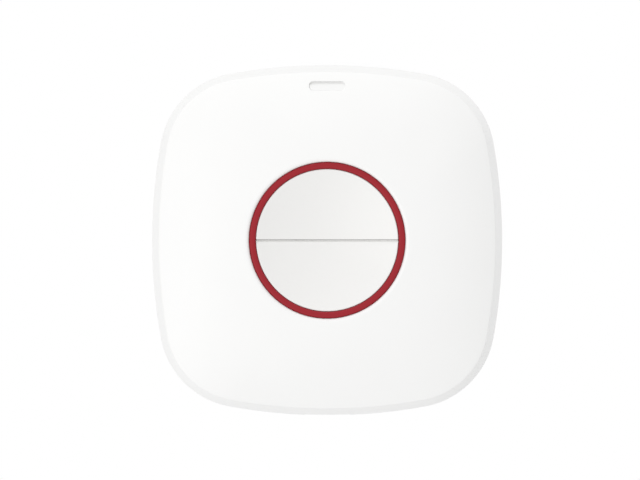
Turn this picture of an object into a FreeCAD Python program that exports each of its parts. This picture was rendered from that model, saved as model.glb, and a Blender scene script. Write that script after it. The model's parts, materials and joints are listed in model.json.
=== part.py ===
import FreeCAD, Part
import math
import os
import re
import Sketcher

# A wall button with two half-round keys in a red ring, in a domed square housing.
# The origin is the centre of the wall face. +X is right and +Z is up, seen from the front, and the
# front faces -Y. A height is a distance from the wall, so it runs along -Y.

# Driving dimensions, in millimetres. Shares and counts are plain numbers.
SIZES = {
    # outline of the housing, seen from the front
    "half_width": 35.0,
    "side_radius": 110.0,
    "corner_radius": 17.0,
    # front cover
    "wall": 2.0,
    "rim_gap": 1.0,
    "flare": 1.5,
    "dome_rise": 5.5,
    "dome_cone_share": 0.34,
    "dome_power": 2.5,
    "crease_wall_share": 0.6,
    "crown_inset": 1.0,
    "crown_side_extra": 0.5,
    "collar_wall": 1.6,
    "boss_radius": 2.5,
    "ledge_height": 3.4,
    "ledge_thickness": 1.0,
    "ledge_root": 0.4,
    "notch_width": 9.0,
    "notch_depth": 1.0,
    "notch_reach": 3.5,
    # rear cover
    "rear_floor": 1.8,
    "rear_clearance": 0.25,
    "rib_inset": 1.7,
    "rib_thickness": 1.2,
    "rib_height": 1.4,
    "hook_width": 9.0,
    "hook_catch": 0.75,
    "hook_taper": 1.2,
    "hook_clearance": 0.15,
    "wall_slot_place": 22.0,
    "wall_slot_length": 8.0,
    "wall_slot_width": 4.0,
    "slot_pad_margin": 2.4,
    "slot_pad_rise": 0.7,
    # stack from the rear cover to the keys
    "clip_clearance": 0.5,
    "clip_thickness": 0.3,
    "cell_radius": 12.25,
    "cell_height": 5.0,
    "cell_cap_radius": 10.8,
    "cell_cap_rise": 0.3,
    "cell_edge": 0.4,
    "contact_space": 0.6,
    "contact_thickness": 0.2,
    "contact_width": 4.0,
    "contact_crest": 1.6,
    "contact_hip": 3.2,
    "contact_foot": 5.0,
    "board_thickness": 1.2,
    "board_clearance": 0.3,
    "board_boss_inset": 11.5,
    # switches under the keys
    "switch_place": 7.2,
    "switch_side": 6.0,
    "switch_height": 2.0,
    "switch_floor": 0.6,
    "switch_well_radius": 2.4,
    "terminal_reach": 1.0,
    "terminal_width": 0.8,
    "terminal_place": 2.0,
    "terminal_thickness": 0.25,
    "steel": 0.2,
    "tab_width": 3.0,
    "tab_height": 1.0,
    "plunger_radius": 1.7,
    "plunger_clearance": 0.15,
    "plunger_flange": 0.5,
    "plunger_rise": 1.3,
    "snap_dome_rise": 0.4,
    "snap_dome_top": 1.0,
    "snap_dome_thickness": 0.1,
    # return boots
    "boot_foot_radius": 6.2,
    "boot_top_radius": 5.2,
    "boot_wall": 0.7,
    "boot_foot": 0.7,
    "boot_top": 0.6,
    "boot_flange": 0.3,
    "boot_squeeze": 0.1,
    # keys
    "key_radius": 14.05,
    "key_gap": 0.28,
    "key_foot": 0.3,
    "key_skin": 1.5,
    "key_wall": 1.2,
    "key_travel": 0.8,
    "key_flange": 1.0,
    "key_edge": 0.2,
    "dish_depth": 2.3,
    "dish_land": 0.2,
    "foot_radius": 1.55,
    "post_radius": 1.2,
    "post_x": 9.3,
    "post_z": 4.2,
    "post_clearance": 0.1,
    # red ring
    "key_clearance": 0.15,
    "ring_width": 1.45,
    "ring_clearance": 0.2,
    "ring_depth": 3.4,
    "ring_rise": 0.2,
    "ring_recess": 0.4,
    "ring_edge": 0.25,
    "flange_thickness": 1.0,
    "stop_gap": 0.1,
    # carrier
    "carrier_gap": 0.4,
    "carrier_wall": 1.8,
    "carrier_floor": 1.1,
    "floor_gap": 0.3,
    "boot_clearance": 0.3,
    "bush_wall": 0.9,
    "bush_rise": 1.0,
    "ear_reach": 4.75,
    "ear_radius": 3.0,
    "ear_thickness": 1.5,
    "ear_lift": 0.6,
    # screws
    "screw_radius": 1.0,
    "screw_head_radius": 1.9,
    "screw_head_height": 1.0,
    "screw_length": 4.0,
    "screw_clearance": 0.2,
    "thread_clearance": 0.02,
    "recess_width": 0.5,
    "recess_length": 1.9,
    "recess_depth": 0.5,
    # indicator
    "slot_inset": 4.2,
    "slot_width": 7.2,
    "slot_height": 2.05,
    "slot_corner": 0.85,
    "guide_clearance": 0.1,
    "guide_recess": 0.35,
    "guide_block_width": 8.6,
    "guide_block_height": 2.2,
    "guide_block_thickness": 0.9,
    "light_gap": 0.1,
    "light_width": 1.6,
    "light_height": 0.8,
    "light_thickness": 0.6,
    # battery holder
    "holder_clearance": 0.25,
    "holder_wall": 1.5,
    "holder_floor": 0.4,
    "holder_lift": 1.2,
    "holder_opening": 14.0,
    "clip_width": 5.0,
    "clip_foot": 1.6,
    # parts on the board
    "antenna_inset": 6.6,
    "antenna_length": 28.0,
    "antenna_lift": 0.6,
    "antenna_width": 0.8,
    "antenna_thickness": 0.4,
    "antenna_leg": 1.0,
    "antenna_leg_pitch": 4.0,
    "radio_gap": 2.5,
    "radio_width": 14.0,
    "radio_height": 10.0,
    "radio_thickness": 0.8,
    "shield_margin": 1.0,
    "shield_thickness": 1.6,
    "chip_inset": 15.5,
    "chip_z": 11.5,
    "chip_side": 6.0,
    "chip_thickness": 0.9,
    "crystal_width": 5.0,
    "crystal_height": 3.2,
    "crystal_thickness": 1.0,
    "small_part_width": 1.6,
    "small_part_height": 0.8,
    "small_part_thickness": 0.6,
    "small_part_pitch": 2.0,
    "small_part_inset": 13.0,
    "small_part_z": 10.0,
    # tamper switch
    "tamper_gap": 3.5,
    "tamper_side": 7.0,
    "tamper_height": 4.8,
    "tamper_floor": 1.0,
    "tamper_chamber_radius": 2.5,
    "pin_radius": 1.5,
    "pin_clearance": 0.12,
    "pin_flange_radius": 2.2,
    "pin_flange_thickness": 0.6,
    "pin_travel": 1.2,
    "pin_stub_radius": 1.0,
    "pin_stub_height": 0.7,
    "pin_recess": 0.05,
    "window_clearance": 0.3,
    "spring_wire": 0.3,
    "spring_radius": 1.6,
    "spring_turns": 2.5,
    "spring_end_gap": 0.03,
}

# Places that follow from the driving dimensions. Levels are heights above the wall.
PLACES = {
    # the stack, from the wall forwards
    "clip_bottom": "rear_floor + clip_clearance",
    "cell_bottom": "clip_bottom + clip_thickness",
    "cell_top": "cell_bottom + cell_height",
    "board_back": "cell_top + contact_space",
    "board_front": "board_back + board_thickness",
    "switch_top": "board_front + switch_height",
    "plate_top": "switch_top + steel",
    "plunger_top": "plate_top + plunger_rise",
    "dish_low": "plunger_top + key_foot + key_skin",
    "key_rim": "dish_low + dish_depth",
    "ring_top": "key_rim + ring_rise",
    "crown_height": "ring_top + ring_recess",
    "crease_height": "crown_height - dome_rise",
    "ring_bottom": "ring_top - ring_depth",
    "ring_flange_top": "ring_bottom + flange_thickness",
    "key_flange_top": "ring_bottom - stop_gap",
    "key_bottom": "key_flange_top - flange_thickness",
    "floor_top": "key_bottom - key_travel - floor_gap",
    "floor_bottom": "floor_top - carrier_floor",
    "post_bottom": "board_front + key_travel + floor_gap",
    "ear_bottom": "floor_bottom + ear_lift",
    "ear_top": "ear_bottom + ear_thickness",
    "boot_top_level": "plunger_top + boot_squeeze",
    # radii round the middle of the keys
    "ring_inner": "key_radius + key_clearance",
    "ring_outer": "ring_inner + ring_width",
    "eye_radius": "ring_outer + ring_clearance",
    "collar_radius": "eye_radius + collar_wall",
    "key_flange_radius": "key_radius + key_flange",
    "key_hollow_radius": "key_radius - key_wall",
    "carrier_inner": "key_flange_radius + carrier_gap",
    "carrier_radius": "carrier_inner + carrier_wall",
    "dish_radius": "key_radius - key_edge - dish_land",
    "dish_sphere": "(dish_radius ^ 2 + dish_depth ^ 2) / (2 * dish_depth)",
    "dish_centre": "dish_low + dish_sphere",
    "under_edge": "dish_centre - sqrt((dish_sphere + key_skin) ^ 2 - key_hollow_radius ^ 2)",
    "under_break": "dish_centre - sqrt((dish_sphere + key_skin) ^ 2 - (key_hollow_radius / 2) ^ 2)",
    "boot_inner": "boot_top_radius - boot_wall",
    # places seen from the front
    "slot_place": "half_width - slot_inset",
    "board_boss_place": "half_width - board_boss_inset",
    "antenna_place": "half_width - antenna_inset",
    "chip_place": "half_width - chip_inset",
    "small_part_place": "half_width - small_part_inset",
    "ear_place": "carrier_radius + ear_reach",
    "radio_place": "holder_radius + radio_gap + radio_height / 2",
    "tamper_place": "holder_radius + tamper_gap + tamper_side / 2",
    # half widths of the outlines
    "crease_half": "half_width - flare",
    "crown_half": "eye_radius - crown_inset",
    "rib_half": "half_width - wall - rib_inset",
    # snap hooks
    "ledge_top": "ledge_height + ledge_thickness",
    "hook_step": "ledge_top + hook_clearance",
    "hook_top": "hook_step + hook_taper",
    # battery holder
    "holder_inner": "cell_radius + holder_clearance",
    "holder_radius": "holder_inner + holder_wall",
    "holder_bottom": "cell_bottom + holder_lift",
    "clip_leg": "holder_radius + holder_clearance",
    # tamper switch
    "tamper_bottom": "board_back - tamper_height",
    "pin_flange_bottom": "tamper_bottom + tamper_floor + pin_travel + pin_clearance",
    "pin_flange_top": "pin_flange_bottom + pin_flange_thickness",
    # indicator
    "guide_bottom": "board_front + light_thickness + light_gap",
    "guide_block_top": "guide_bottom + guide_block_thickness",
    "guide_high": "slot_place + slot_height / 2 - guide_clearance",
    "guide_low": "slot_place - slot_height / 2 + guide_clearance",
    "guide_block_high": "crease_half - wall - board_clearance",
    "light_place": "guide_block_high - guide_block_height / 2",
}

DOME_SHARES = (0.0, 0.25, 0.5, 0.75, 1.0)
PARTS_IN_ROW = 4
TOWARDS_VIEWER = True
NEARLY_ONE = 0.999
LEAST_CHANGE = 1e-6

doc = FreeCAD.newDocument("wall_button")
sheet = doc.addObject("Spreadsheet::Sheet", "Sizes")
for row, (alias, size) in enumerate(SIZES.items(), start=1):
    sheet.set("A%d" % row, alias)
    sheet.set("B%d" % row, str(size))
    sheet.setAlias("B%d" % row, alias)
doc.recompute()

parts = []


# Formulas and bindings

def bound(formula):
    """A formula written with the names above, spelt out in cells of the sheet."""
    def cell(match):
        name = match.group(0)
        if name in PLACES:
            return "(" + bound(PLACES[name]) + ")"
        if name in SIZES:
            return "Sizes." + name
        return name
    return re.sub(r"[a-z_]+", cell, formula)


def number(formula):
    """The present value of a formula."""
    return float(sheet.evalExpression(bound(formula)))


def bind(target, name, formula):
    """Ties a property of an object to a formula."""
    target.setExpression(name, bound(formula))


def dimension(sketch, kind, where, formula):
    """Adds a dimension to a sketch and ties it to a formula."""
    index = sketch.addConstraint(Sketcher.Constraint(kind, *where, number(formula)))
    bind(sketch, "Constraints[%d]" % index, formula)


def dome_height(radius):
    """Height of the domed face along the row of the middle, at a distance from the centre."""
    share = "((%s - crown_half) / (crease_half - crown_half))" % radius
    fall = "(dome_cone_share * %s + (1 - dome_cone_share) * %s ^ dome_power)" % (share, share)
    return "crown_height - dome_rise * " + fall


# Bodies and sketches

def new_body(label):
    """An empty body that becomes one sub-part."""
    body = doc.addObject("PartDesign::Body", label)
    body.Label = label
    parts.append(body)
    return body


def origin_item(body, role):
    """A plane or axis of a body's own origin."""
    return [item for item in body.Origin.OriginFeatures if item.Role == role][0]


def attach(body, name, role):
    """A new sketch on one of the body's own planes."""
    sketch = body.newObject("Sketcher::SketchObject", body.Label + "_" + name)
    sketch.AttachmentSupport = [(origin_item(body, role), "")]
    sketch.MapMode = "FlatFace"
    return sketch


def front_sketch(body, name, height="0"):
    """A sketch parallel to the wall. Its x is X, its y is Z, and it faces the viewer."""
    sketch = attach(body, name, "XZ_Plane")
    bind(sketch, "AttachmentOffset.Base.z", height)
    return sketch


def section_sketch(body, name, x="0", z="0"):
    """A sketch square to the wall, seen from above. Its x is X and its y is minus the height."""
    sketch = attach(body, name, "XY_Plane")
    bind(sketch, "AttachmentOffset.Base.x", x)
    bind(sketch, "AttachmentOffset.Base.z", z)
    return sketch


def side_sketch(body, name, x="0"):
    """A sketch square to the wall, seen from the side. Its x is minus the height, its y is Z."""
    sketch = attach(body, name, "YZ_Plane")
    bind(sketch, "AttachmentOffset.Base.z", x)
    return sketch


def negative(formula):
    return "-(%s)" % formula


def heights_down(points):
    """Points given as (across, height) for a sketch whose y runs towards the wall."""
    return [(across, negative(height)) for across, height in points]


def heights_back(points):
    """Points given as (height, z) for a sketch whose x runs towards the wall."""
    return [(negative(height), z) for height, z in points]


def arc_about_axis(start, finish):
    """The short arc between two points whose centre lies on the sketch's y axis, drawn
    anticlockwise, and whether start is its beginning."""
    rise = finish.y - start.y
    centre_y = (finish.x ** 2 - start.x ** 2 + finish.y ** 2 - start.y ** 2) / (2 * rise)
    centre = FreeCAD.Vector(0, centre_y, 0)
    radius = start.distanceToPoint(centre)
    start_angle = math.atan2(start.y - centre_y, start.x)
    sweep = math.atan2(finish.y - centre_y, finish.x) - start_angle
    sweep = math.remainder(sweep, 2 * math.pi)
    first_angle = start_angle + min(sweep, 0)
    whole = Part.Circle(centre, FreeCAD.Vector(0, 0, 1), radius)
    return Part.ArcOfCircle(whole, first_angle, first_angle + abs(sweep)), sweep > 0


def outline(sketch, points, arcs=()):
    """A closed outline through points given as formulas. A side whose index is in arcs is an arc
    with its centre on the sketch's y axis, and the others are straight."""
    count = len(points)
    first = sketch.GeometryCount
    corners = [FreeCAD.Vector(number(x), number(y), 0) for x, y in points]
    ends = []
    for index, start in enumerate(corners):
        finish = corners[(index + 1) % count]
        if index in arcs:
            side, forwards = arc_about_axis(start, finish)
            sketch.addGeometry(side, False)
            ends.append((1, 2) if forwards else (2, 1))
        else:
            sketch.addGeometry(Part.LineSegment(start, finish), False)
            ends.append((1, 2))
    for index in range(count):
        following = (index + 1) % count
        joint = (first + index, ends[index][1], first + following, ends[following][0])
        sketch.addConstraint(Sketcher.Constraint("Coincident", *joint))
    for index, (x, y) in enumerate(points):
        dimension(sketch, "DistanceX", (-1, 1, first + index, ends[index][0]), x)
        dimension(sketch, "DistanceY", (-1, 1, first + index, ends[index][0]), y)
    for index in arcs:
        sketch.addConstraint(Sketcher.Constraint("PointOnObject", first + index, 3, -2))
    return sketch


def circle(sketch, radius, x="0", y="0"):
    """A circle by its radius and centre."""
    centre = FreeCAD.Vector(number(x), number(y), 0)
    index = sketch.addGeometry(Part.Circle(centre, FreeCAD.Vector(0, 0, 1), number(radius)), False)
    dimension(sketch, "DistanceX", (-1, 1, index, 3), x)
    dimension(sketch, "DistanceY", (-1, 1, index, 3), y)
    dimension(sketch, "Radius", (index,), radius)
    return sketch


def rectangle(sketch, width, height, x="0", y="0"):
    """A rectangle by its size and centre."""
    low_x, high_x = "%s - (%s) / 2" % (x, width), "%s + (%s) / 2" % (x, width)
    low_y, high_y = "%s - (%s) / 2" % (y, height), "%s + (%s) / 2" % (y, height)
    return outline(sketch, [(low_x, low_y), (high_x, low_y), (high_x, high_y), (low_x, high_y)])


def rounded_rectangle(sketch, width, height, corner, x="0", y="0"):
    """A rectangle with round corners. Where the corner is half the height, it is a long slot."""
    half_x, half_y = number(width) / 2, number(height) / 2
    radius = min(number(corner), half_y * NEARLY_ONE)
    centre = FreeCAD.Vector(number(x), number(y), 0)
    normal = FreeCAD.Vector(0, 0, 1)
    first = sketch.GeometryCount
    reach_x, reach_y = half_x - radius, half_y - radius
    for turn, (sign_x, sign_y) in enumerate(((1, 1), (-1, 1), (-1, -1), (1, -1))):
        middle = centre + FreeCAD.Vector(sign_x * reach_x, sign_y * reach_y, 0)
        start_angle = turn * math.pi / 2
        arc = Part.ArcOfCircle(Part.Circle(middle, normal, radius), start_angle, start_angle + math.pi / 2)
        sketch.addGeometry(arc, False)
    for turn in range(4):
        arc = sketch.Geometry[first + turn]
        following = sketch.Geometry[first + (turn + 1) % 4]
        sketch.addGeometry(Part.LineSegment(arc.EndPoint, following.StartPoint), False)
    for turn in range(4):
        line = first + 4 + turn
        sketch.addConstraint(Sketcher.Constraint("Tangent", first + turn, 2, line, 1))
        sketch.addConstraint(Sketcher.Constraint("Tangent", line, 2, first + (turn + 1) % 4, 1))
    for turn in (1, 2, 3):
        sketch.addConstraint(Sketcher.Constraint("Equal", first, first + turn))
    sketch.addConstraint(Sketcher.Constraint("Horizontal", first + 4))
    dimension(sketch, "Radius", (first,), "min(%s; (%s) / 2 * %g)" % (corner, height, NEARLY_ONE))
    dimension(sketch, "DistanceX", (-1, 1, first, 1), "%s + (%s) / 2" % (x, width))
    dimension(sketch, "DistanceX", (-1, 1, first + 1, 2), "%s - (%s) / 2" % (x, width))
    dimension(sketch, "DistanceY", (-1, 1, first, 2), "%s + (%s) / 2" % (y, height))
    dimension(sketch, "DistanceY", (-1, 1, first + 2, 2), "%s - (%s) / 2" % (y, height))
    return sketch


def bowed_square(sketch, half, side, corner):
    """The housing's outline: four bowed sides that run smoothly into four round corners."""
    half_value, side_value, corner_value = number(half), number(side), number(corner)
    reach = side_value - half_value
    between = side_value - corner_value
    place = (math.sqrt(8 * between ** 2 - 4 * reach ** 2) - 2 * reach) / 4
    share = math.atan2(place, place + reach)
    normal = FreeCAD.Vector(0, 0, 1)
    for turn in range(4):
        angle = turn * math.pi / 2
        spin = FreeCAD.Rotation(normal, math.degrees(angle))
        side_centre = spin.multVec(FreeCAD.Vector(-reach, 0, 0))
        corner_centre = spin.multVec(FreeCAD.Vector(place, place, 0))
        side_circle = Part.Circle(side_centre, normal, side_value)
        corner_circle = Part.Circle(corner_centre, normal, corner_value)
        corner_end = angle + math.pi / 2 - share
        sketch.addGeometry(Part.ArcOfCircle(side_circle, angle - share, angle + share), False)
        sketch.addGeometry(Part.ArcOfCircle(corner_circle, angle + share, corner_end), False)
    first = sketch.GeometryCount - 8
    for turn in range(4):
        bow, bend = first + 2 * turn, first + 2 * turn + 1
        next_bow = first + (2 * turn + 2) % 8
        sketch.addConstraint(Sketcher.Constraint("Tangent", bow, 2, bend, 1))
        sketch.addConstraint(Sketcher.Constraint("Tangent", bend, 2, next_bow, 1))
    for turn, (x, y) in enumerate(((-1, 0), (0, -1), (1, 0), (0, 1))):
        bow = first + 2 * turn
        dimension(sketch, "DistanceX", (-1, 1, bow, 3), "%d * ((%s) - (%s))" % (x, side, half))
        dimension(sketch, "DistanceY", (-1, 1, bow, 3), "%d * ((%s) - (%s))" % (y, side, half))
    dimension(sketch, "Radius", (first,), side)
    dimension(sketch, "Radius", (first + 1,), corner)
    for turn in (1, 2, 3):
        sketch.addConstraint(Sketcher.Constraint("Equal", first, first + 2 * turn))
        sketch.addConstraint(Sketcher.Constraint("Equal", first + 1, first + 2 * turn + 1))
    return sketch


def inset_outline(sketch, inset):
    """The housing's outline, drawn in by a distance all round."""
    sizes = ["%s - (%s)" % (name, inset) for name in ("half_width", "side_radius", "corner_radius")]
    return bowed_square(sketch, *sizes)


# Features

def added_volume(body, make):
    """Makes a feature and returns it with the volume that it adds, which is negative for a cut."""
    doc.recompute()
    before = body.Shape.Volume if body.Tip else 0.0
    feature = make()
    doc.recompute()
    return feature, body.Shape.Volume - before


def shaped(body, kind, name, profile, settings, formulas, cuts):
    """One feature of a body. It stops if an addition adds nothing or a cut cuts nothing."""
    def make():
        feature = body.newObject("PartDesign::" + kind, body.Label + "_" + name)
        feature.Profile = profile
        for key, value in settings.items():
            setattr(feature, key, value)
        for key, formula in formulas.items():
            bind(feature, key, formula)
        return feature
    feature, change = added_volume(body, make)
    if (change > -LEAST_CHANGE) if cuts else (change < LEAST_CHANGE):
        raise RuntimeError("%s of %s changes nothing: %g" % (name, body.Label, change))
    return feature


def pad(body, name, profile, length, symmetric=False):
    """Thickens a sketch towards the side that it faces, or to both sides."""
    settings = {"SideType": "Symmetric"} if symmetric else {}
    return shaped(body, "Pad", name, profile, settings, {"Length": length}, False)


def pad_to_wall(body, name, profile):
    """Raises a sketch until it meets the inside of the housing."""
    return shaped(body, "Pad", name, profile, {"Type": "UpToFirst"}, {}, False)


def pocket(body, name, profile, length, towards_viewer=False, symmetric=False):
    """Cuts a sketch out, towards the wall unless told otherwise."""
    settings = {"Reversed": towards_viewer}
    if symmetric:
        settings["SideType"] = "Symmetric"
    return shaped(body, "Pocket", name, profile, settings, {"Length": length}, True)


def revolve(body, name, profile):
    """Turns a section about its own y axis, which is square to the wall."""
    settings = {"ReferenceAxis": (profile, ["V_Axis"]), "Angle": 360}
    return shaped(body, "Revolution", name, profile, settings, {}, False)


def groove(body, name, profile):
    """Turns a section about its own y axis and cuts it out."""
    settings = {"ReferenceAxis": (profile, ["V_Axis"]), "Angle": 360}
    return shaped(body, "Groove", name, profile, settings, {}, True)


def loft(body, name, sections, ruled, cuts=False):
    """Joins outlines, with straight walls or as one smooth surface."""
    kind = "SubtractiveLoft" if cuts else "AdditiveLoft"
    settings = {"Sections": sections[1:], "Ruled": ruled}
    return shaped(body, kind, name, sections[0], settings, {}, cuts)


def around(body, name, features, count=4):
    """Repeats features in a circle about the body's Y axis."""
    def make():
        pattern = body.newObject("PartDesign::PolarPattern", body.Label + "_" + name)
        pattern.Originals = features
        pattern.Axis = (origin_item(body, "Y_Axis"), [""])
        pattern.Angle = 360
        pattern.Occurrences = count
        body.Tip = pattern
        return pattern
    return added_volume(body, make)[0]


# Housing

def dome_sections(body, name, inset, thinning):
    """Outlines of the dome from the crease to the crown. They change from the housing's bowed
    square to nearly a circle round the keys."""
    sections = []
    for share in DOME_SHARES:
        crease, crown = "(crease_half - %s)" % inset, "crown_half"
        half = "(%s + (%s - %s) * %s)" % (crease, crown, crease, share)
        bow = "(side_radius - half_width) * %s ^ 2 + crown_side_extra * %s" % (1 - share, share)
        side = "(%s + %s)" % (half, bow)
        corner = "((corner_radius - flare - %s) * (1 - %s) + (crown_half - crown_side_extra) * %s)" \
            % (inset, share, share)
        fall = "(dome_cone_share * %s + (1 - dome_cone_share) * %s ^ dome_power)" % (1 - share, 1 - share)
        lowering = "%s * (crease_wall_share + (1 - crease_wall_share) * %s)" % (thinning, share)
        height = "crown_height - dome_rise * %s - %s" % (fall, lowering)
        sketch = front_sketch(body, "%s_%d" % (name, round(share * 100)), height)
        sections.append(bowed_square(sketch, half, side, corner))
    return sections


def front_cover():
    """Skirt and dome as one moulded wall, with the collar of the eye, the indicator slot, screw
    bosses, snap ledges and a notch for prying it open."""
    body = new_body("front_cover")
    rim = inset_outline(front_sketch(body, "rim", "rim_gap"), "0")
    crease = inset_outline(front_sketch(body, "crease", "crease_height"), "flare")
    loft(body, "skirt", [rim, crease], ruled=True)
    loft(body, "dome", dome_sections(body, "dome", "0", "0"), ruled=False)
    inner_rim = inset_outline(front_sketch(body, "inner_rim", "rim_gap"), "wall")
    inner_top = "crease_height - wall * crease_wall_share"
    inner_crease = inset_outline(front_sketch(body, "inner_crease", inner_top), "flare + wall")
    loft(body, "skirt_hollow", [inner_rim, inner_crease], ruled=True, cuts=True)
    loft(body, "dome_hollow", dome_sections(body, "hollow", "wall", "wall"), ruled=True, cuts=True)

    collar = front_sketch(body, "collar", "ring_flange_top")
    circle(collar, "collar_radius")
    pad(body, "collar_ring", collar, "crown_height - wall / 2 - (ring_flange_top)")
    eye = circle(front_sketch(body, "eye", "crown_height + wall"), "eye_radius")
    pocket(body, "eye_hole", eye, "crown_height + wall - (ring_flange_top)")

    slot = front_sketch(body, "slot", "crown_height")
    rounded_rectangle(slot, "slot_width", "slot_height", "slot_corner", y="slot_place")
    pocket(body, "slot_hole", slot, "crown_height - (guide_block_top) + light_gap")

    ear_boss = circle(front_sketch(body, "ear_boss", "ear_top"), "boss_radius", x="ear_place")
    ear_boss_pad = pad_to_wall(body, "ear_boss_pad", ear_boss)
    ear_bore = front_sketch(body, "ear_bore", "ear_top")
    circle(ear_bore, "screw_radius + thread_clearance", x="ear_place")
    bore_depth = "screw_length - ear_thickness + screw_clearance"
    ear_bore_cut = pocket(body, "ear_bore_cut", ear_bore, bore_depth, TOWARDS_VIEWER)
    around(body, "ear_bosses", [ear_boss_pad, ear_bore_cut])

    corner = {"x": "board_boss_place", "y": "board_boss_place"}
    board_boss = circle(front_sketch(body, "board_boss", "board_front"), "boss_radius", **corner)
    board_boss_pad = pad_to_wall(body, "board_boss_pad", board_boss)
    board_bore = front_sketch(body, "board_bore", "board_front")
    circle(board_bore, "screw_radius + thread_clearance", **corner)
    bore_depth = "screw_length - board_thickness + screw_clearance"
    board_bore_cut = pocket(body, "board_bore_cut", board_bore, bore_depth, TOWARDS_VIEWER)
    around(body, "board_bosses", [board_boss_pad, board_bore_cut])

    ledge_low, ledge_high = "rib_half + hook_clearance", "half_width - wall + ledge_root"
    ledge = front_sketch(body, "ledge", "ledge_height")
    rectangle(ledge, "(%s) - (%s)" % (ledge_high, ledge_low), "hook_width",
              x="((%s) + (%s)) / 2" % (ledge_high, ledge_low))
    ledge_pad = pad(body, "ledge_pad", ledge, "ledge_thickness")
    around(body, "ledges", [ledge_pad])

    notch = front_sketch(body, "notch", "rim_gap")
    rectangle(notch, "notch_width", "2 * notch_reach", y="-(half_width)")
    pocket(body, "notch_cut", notch, "notch_depth", TOWARDS_VIEWER)


def rear_cover():
    """Wall plate with a locating rib, four snap hooks, two slots for the wall screws and the
    window of the tamper pin."""
    body = new_body("rear_cover")
    plate = inset_outline(front_sketch(body, "plate"), "wall + rear_clearance")
    pad(body, "floor", plate, "rear_floor")
    rib = inset_outline(front_sketch(body, "rib", "rear_floor"), "wall + rib_inset")
    inset_outline(rib, "wall + rib_inset + rib_thickness")
    pad(body, "rib_wall", rib, "rib_height")

    inside, outside = "rib_half - rib_thickness", "rib_half"
    hook = outline(section_sketch(body, "hook"), heights_down([
        (inside, "rear_floor"),
        (outside, "rear_floor"),
        (outside, "hook_step"),
        ("%s + hook_catch" % outside, "hook_step"),
        ("%s + hook_catch" % outside, "hook_step + hook_clearance"),
        (outside, "hook_top"),
        (inside, "hook_top"),
    ]))
    hook_pad = pad(body, "hook_pad", hook, "hook_width - rib_thickness", symmetric=True)
    around(body, "hooks", [hook_pad])

    for side, name in ((-1, "left"), (1, "right")):
        place = "%d * wall_slot_place" % side
        margin = front_sketch(body, name + "_slot_margin", "rear_floor")
        rounded_rectangle(margin, "wall_slot_length + 2 * slot_pad_margin",
                          "wall_slot_width + 2 * slot_pad_margin",
                          "wall_slot_width / 2 + slot_pad_margin", x=place)
        pad(body, name + "_slot_pad", margin, "slot_pad_rise")
    for side, name in ((-1, "left"), (1, "right")):
        slot = front_sketch(body, name + "_slot", "rear_floor + slot_pad_rise")
        rounded_rectangle(slot, "wall_slot_length", "wall_slot_width", "wall_slot_width / 2",
                          x="%d * wall_slot_place" % side)
        pocket(body, name + "_slot_cut", slot, "rear_floor + slot_pad_rise")

    window = front_sketch(body, "window", "rear_floor")
    circle(window, "pin_radius + window_clearance", y="-(tamper_place)")
    pocket(body, "window_cut", window, "rear_floor")


def indicator_light_guide():
    """Clear blade that fills the slot just under the dome, on a block over the light."""
    body = new_body("indicator_light_guide")
    blade = outline(side_sketch(body, "blade"), heights_back([
        ("guide_bottom", "guide_low"),
        (dome_height("guide_low") + " - guide_recess", "guide_low"),
        (dome_height("guide_high") + " - guide_recess", "guide_high"),
        ("guide_block_top", "guide_high"),
        ("guide_block_top", "guide_block_high"),
        ("guide_bottom", "guide_block_high"),
    ]))
    blade_pad = pad(body, "blade_pad", blade, "slot_width - 2 * guide_clearance", symmetric=True)
    upright = [
        "Edge%d" % (index + 1) for index, edge in enumerate(body.Shape.Edges)
        if abs(edge.tangentAt(edge.FirstParameter).y) > NEARLY_ONE
        and edge.BoundBox.YMin < -number("guide_block_top") - number("guide_recess")
    ]
    fillet = body.newObject("PartDesign::Fillet", "indicator_light_guide_ends")
    fillet.Base = (blade_pad, upright)
    bind(fillet, "Radius", "slot_corner - guide_clearance")
    doc.recompute()
    block = front_sketch(body, "block", "guide_bottom")
    rectangle(block, "guide_block_width", "guide_block_height", y="light_place")
    pad(body, "block_pad", block, "guide_block_thickness")


# Ring, keys and carrier

def red_ring():
    """Trim ring with a flange that is clamped between the cover's collar and the carrier."""
    body = new_body("red_ring")
    section = outline(section_sketch(body, "section"), heights_down([
        ("ring_inner", "ring_bottom"),
        ("carrier_radius", "ring_bottom"),
        ("carrier_radius", "ring_flange_top"),
        ("ring_outer", "ring_flange_top"),
        ("ring_outer", "ring_top - ring_edge"),
        ("ring_outer - ring_edge", "ring_top"),
        ("ring_inner + ring_edge", "ring_top"),
        ("ring_inner", "ring_top - ring_edge"),
    ]))
    revolve(body, "turned", section)


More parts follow.
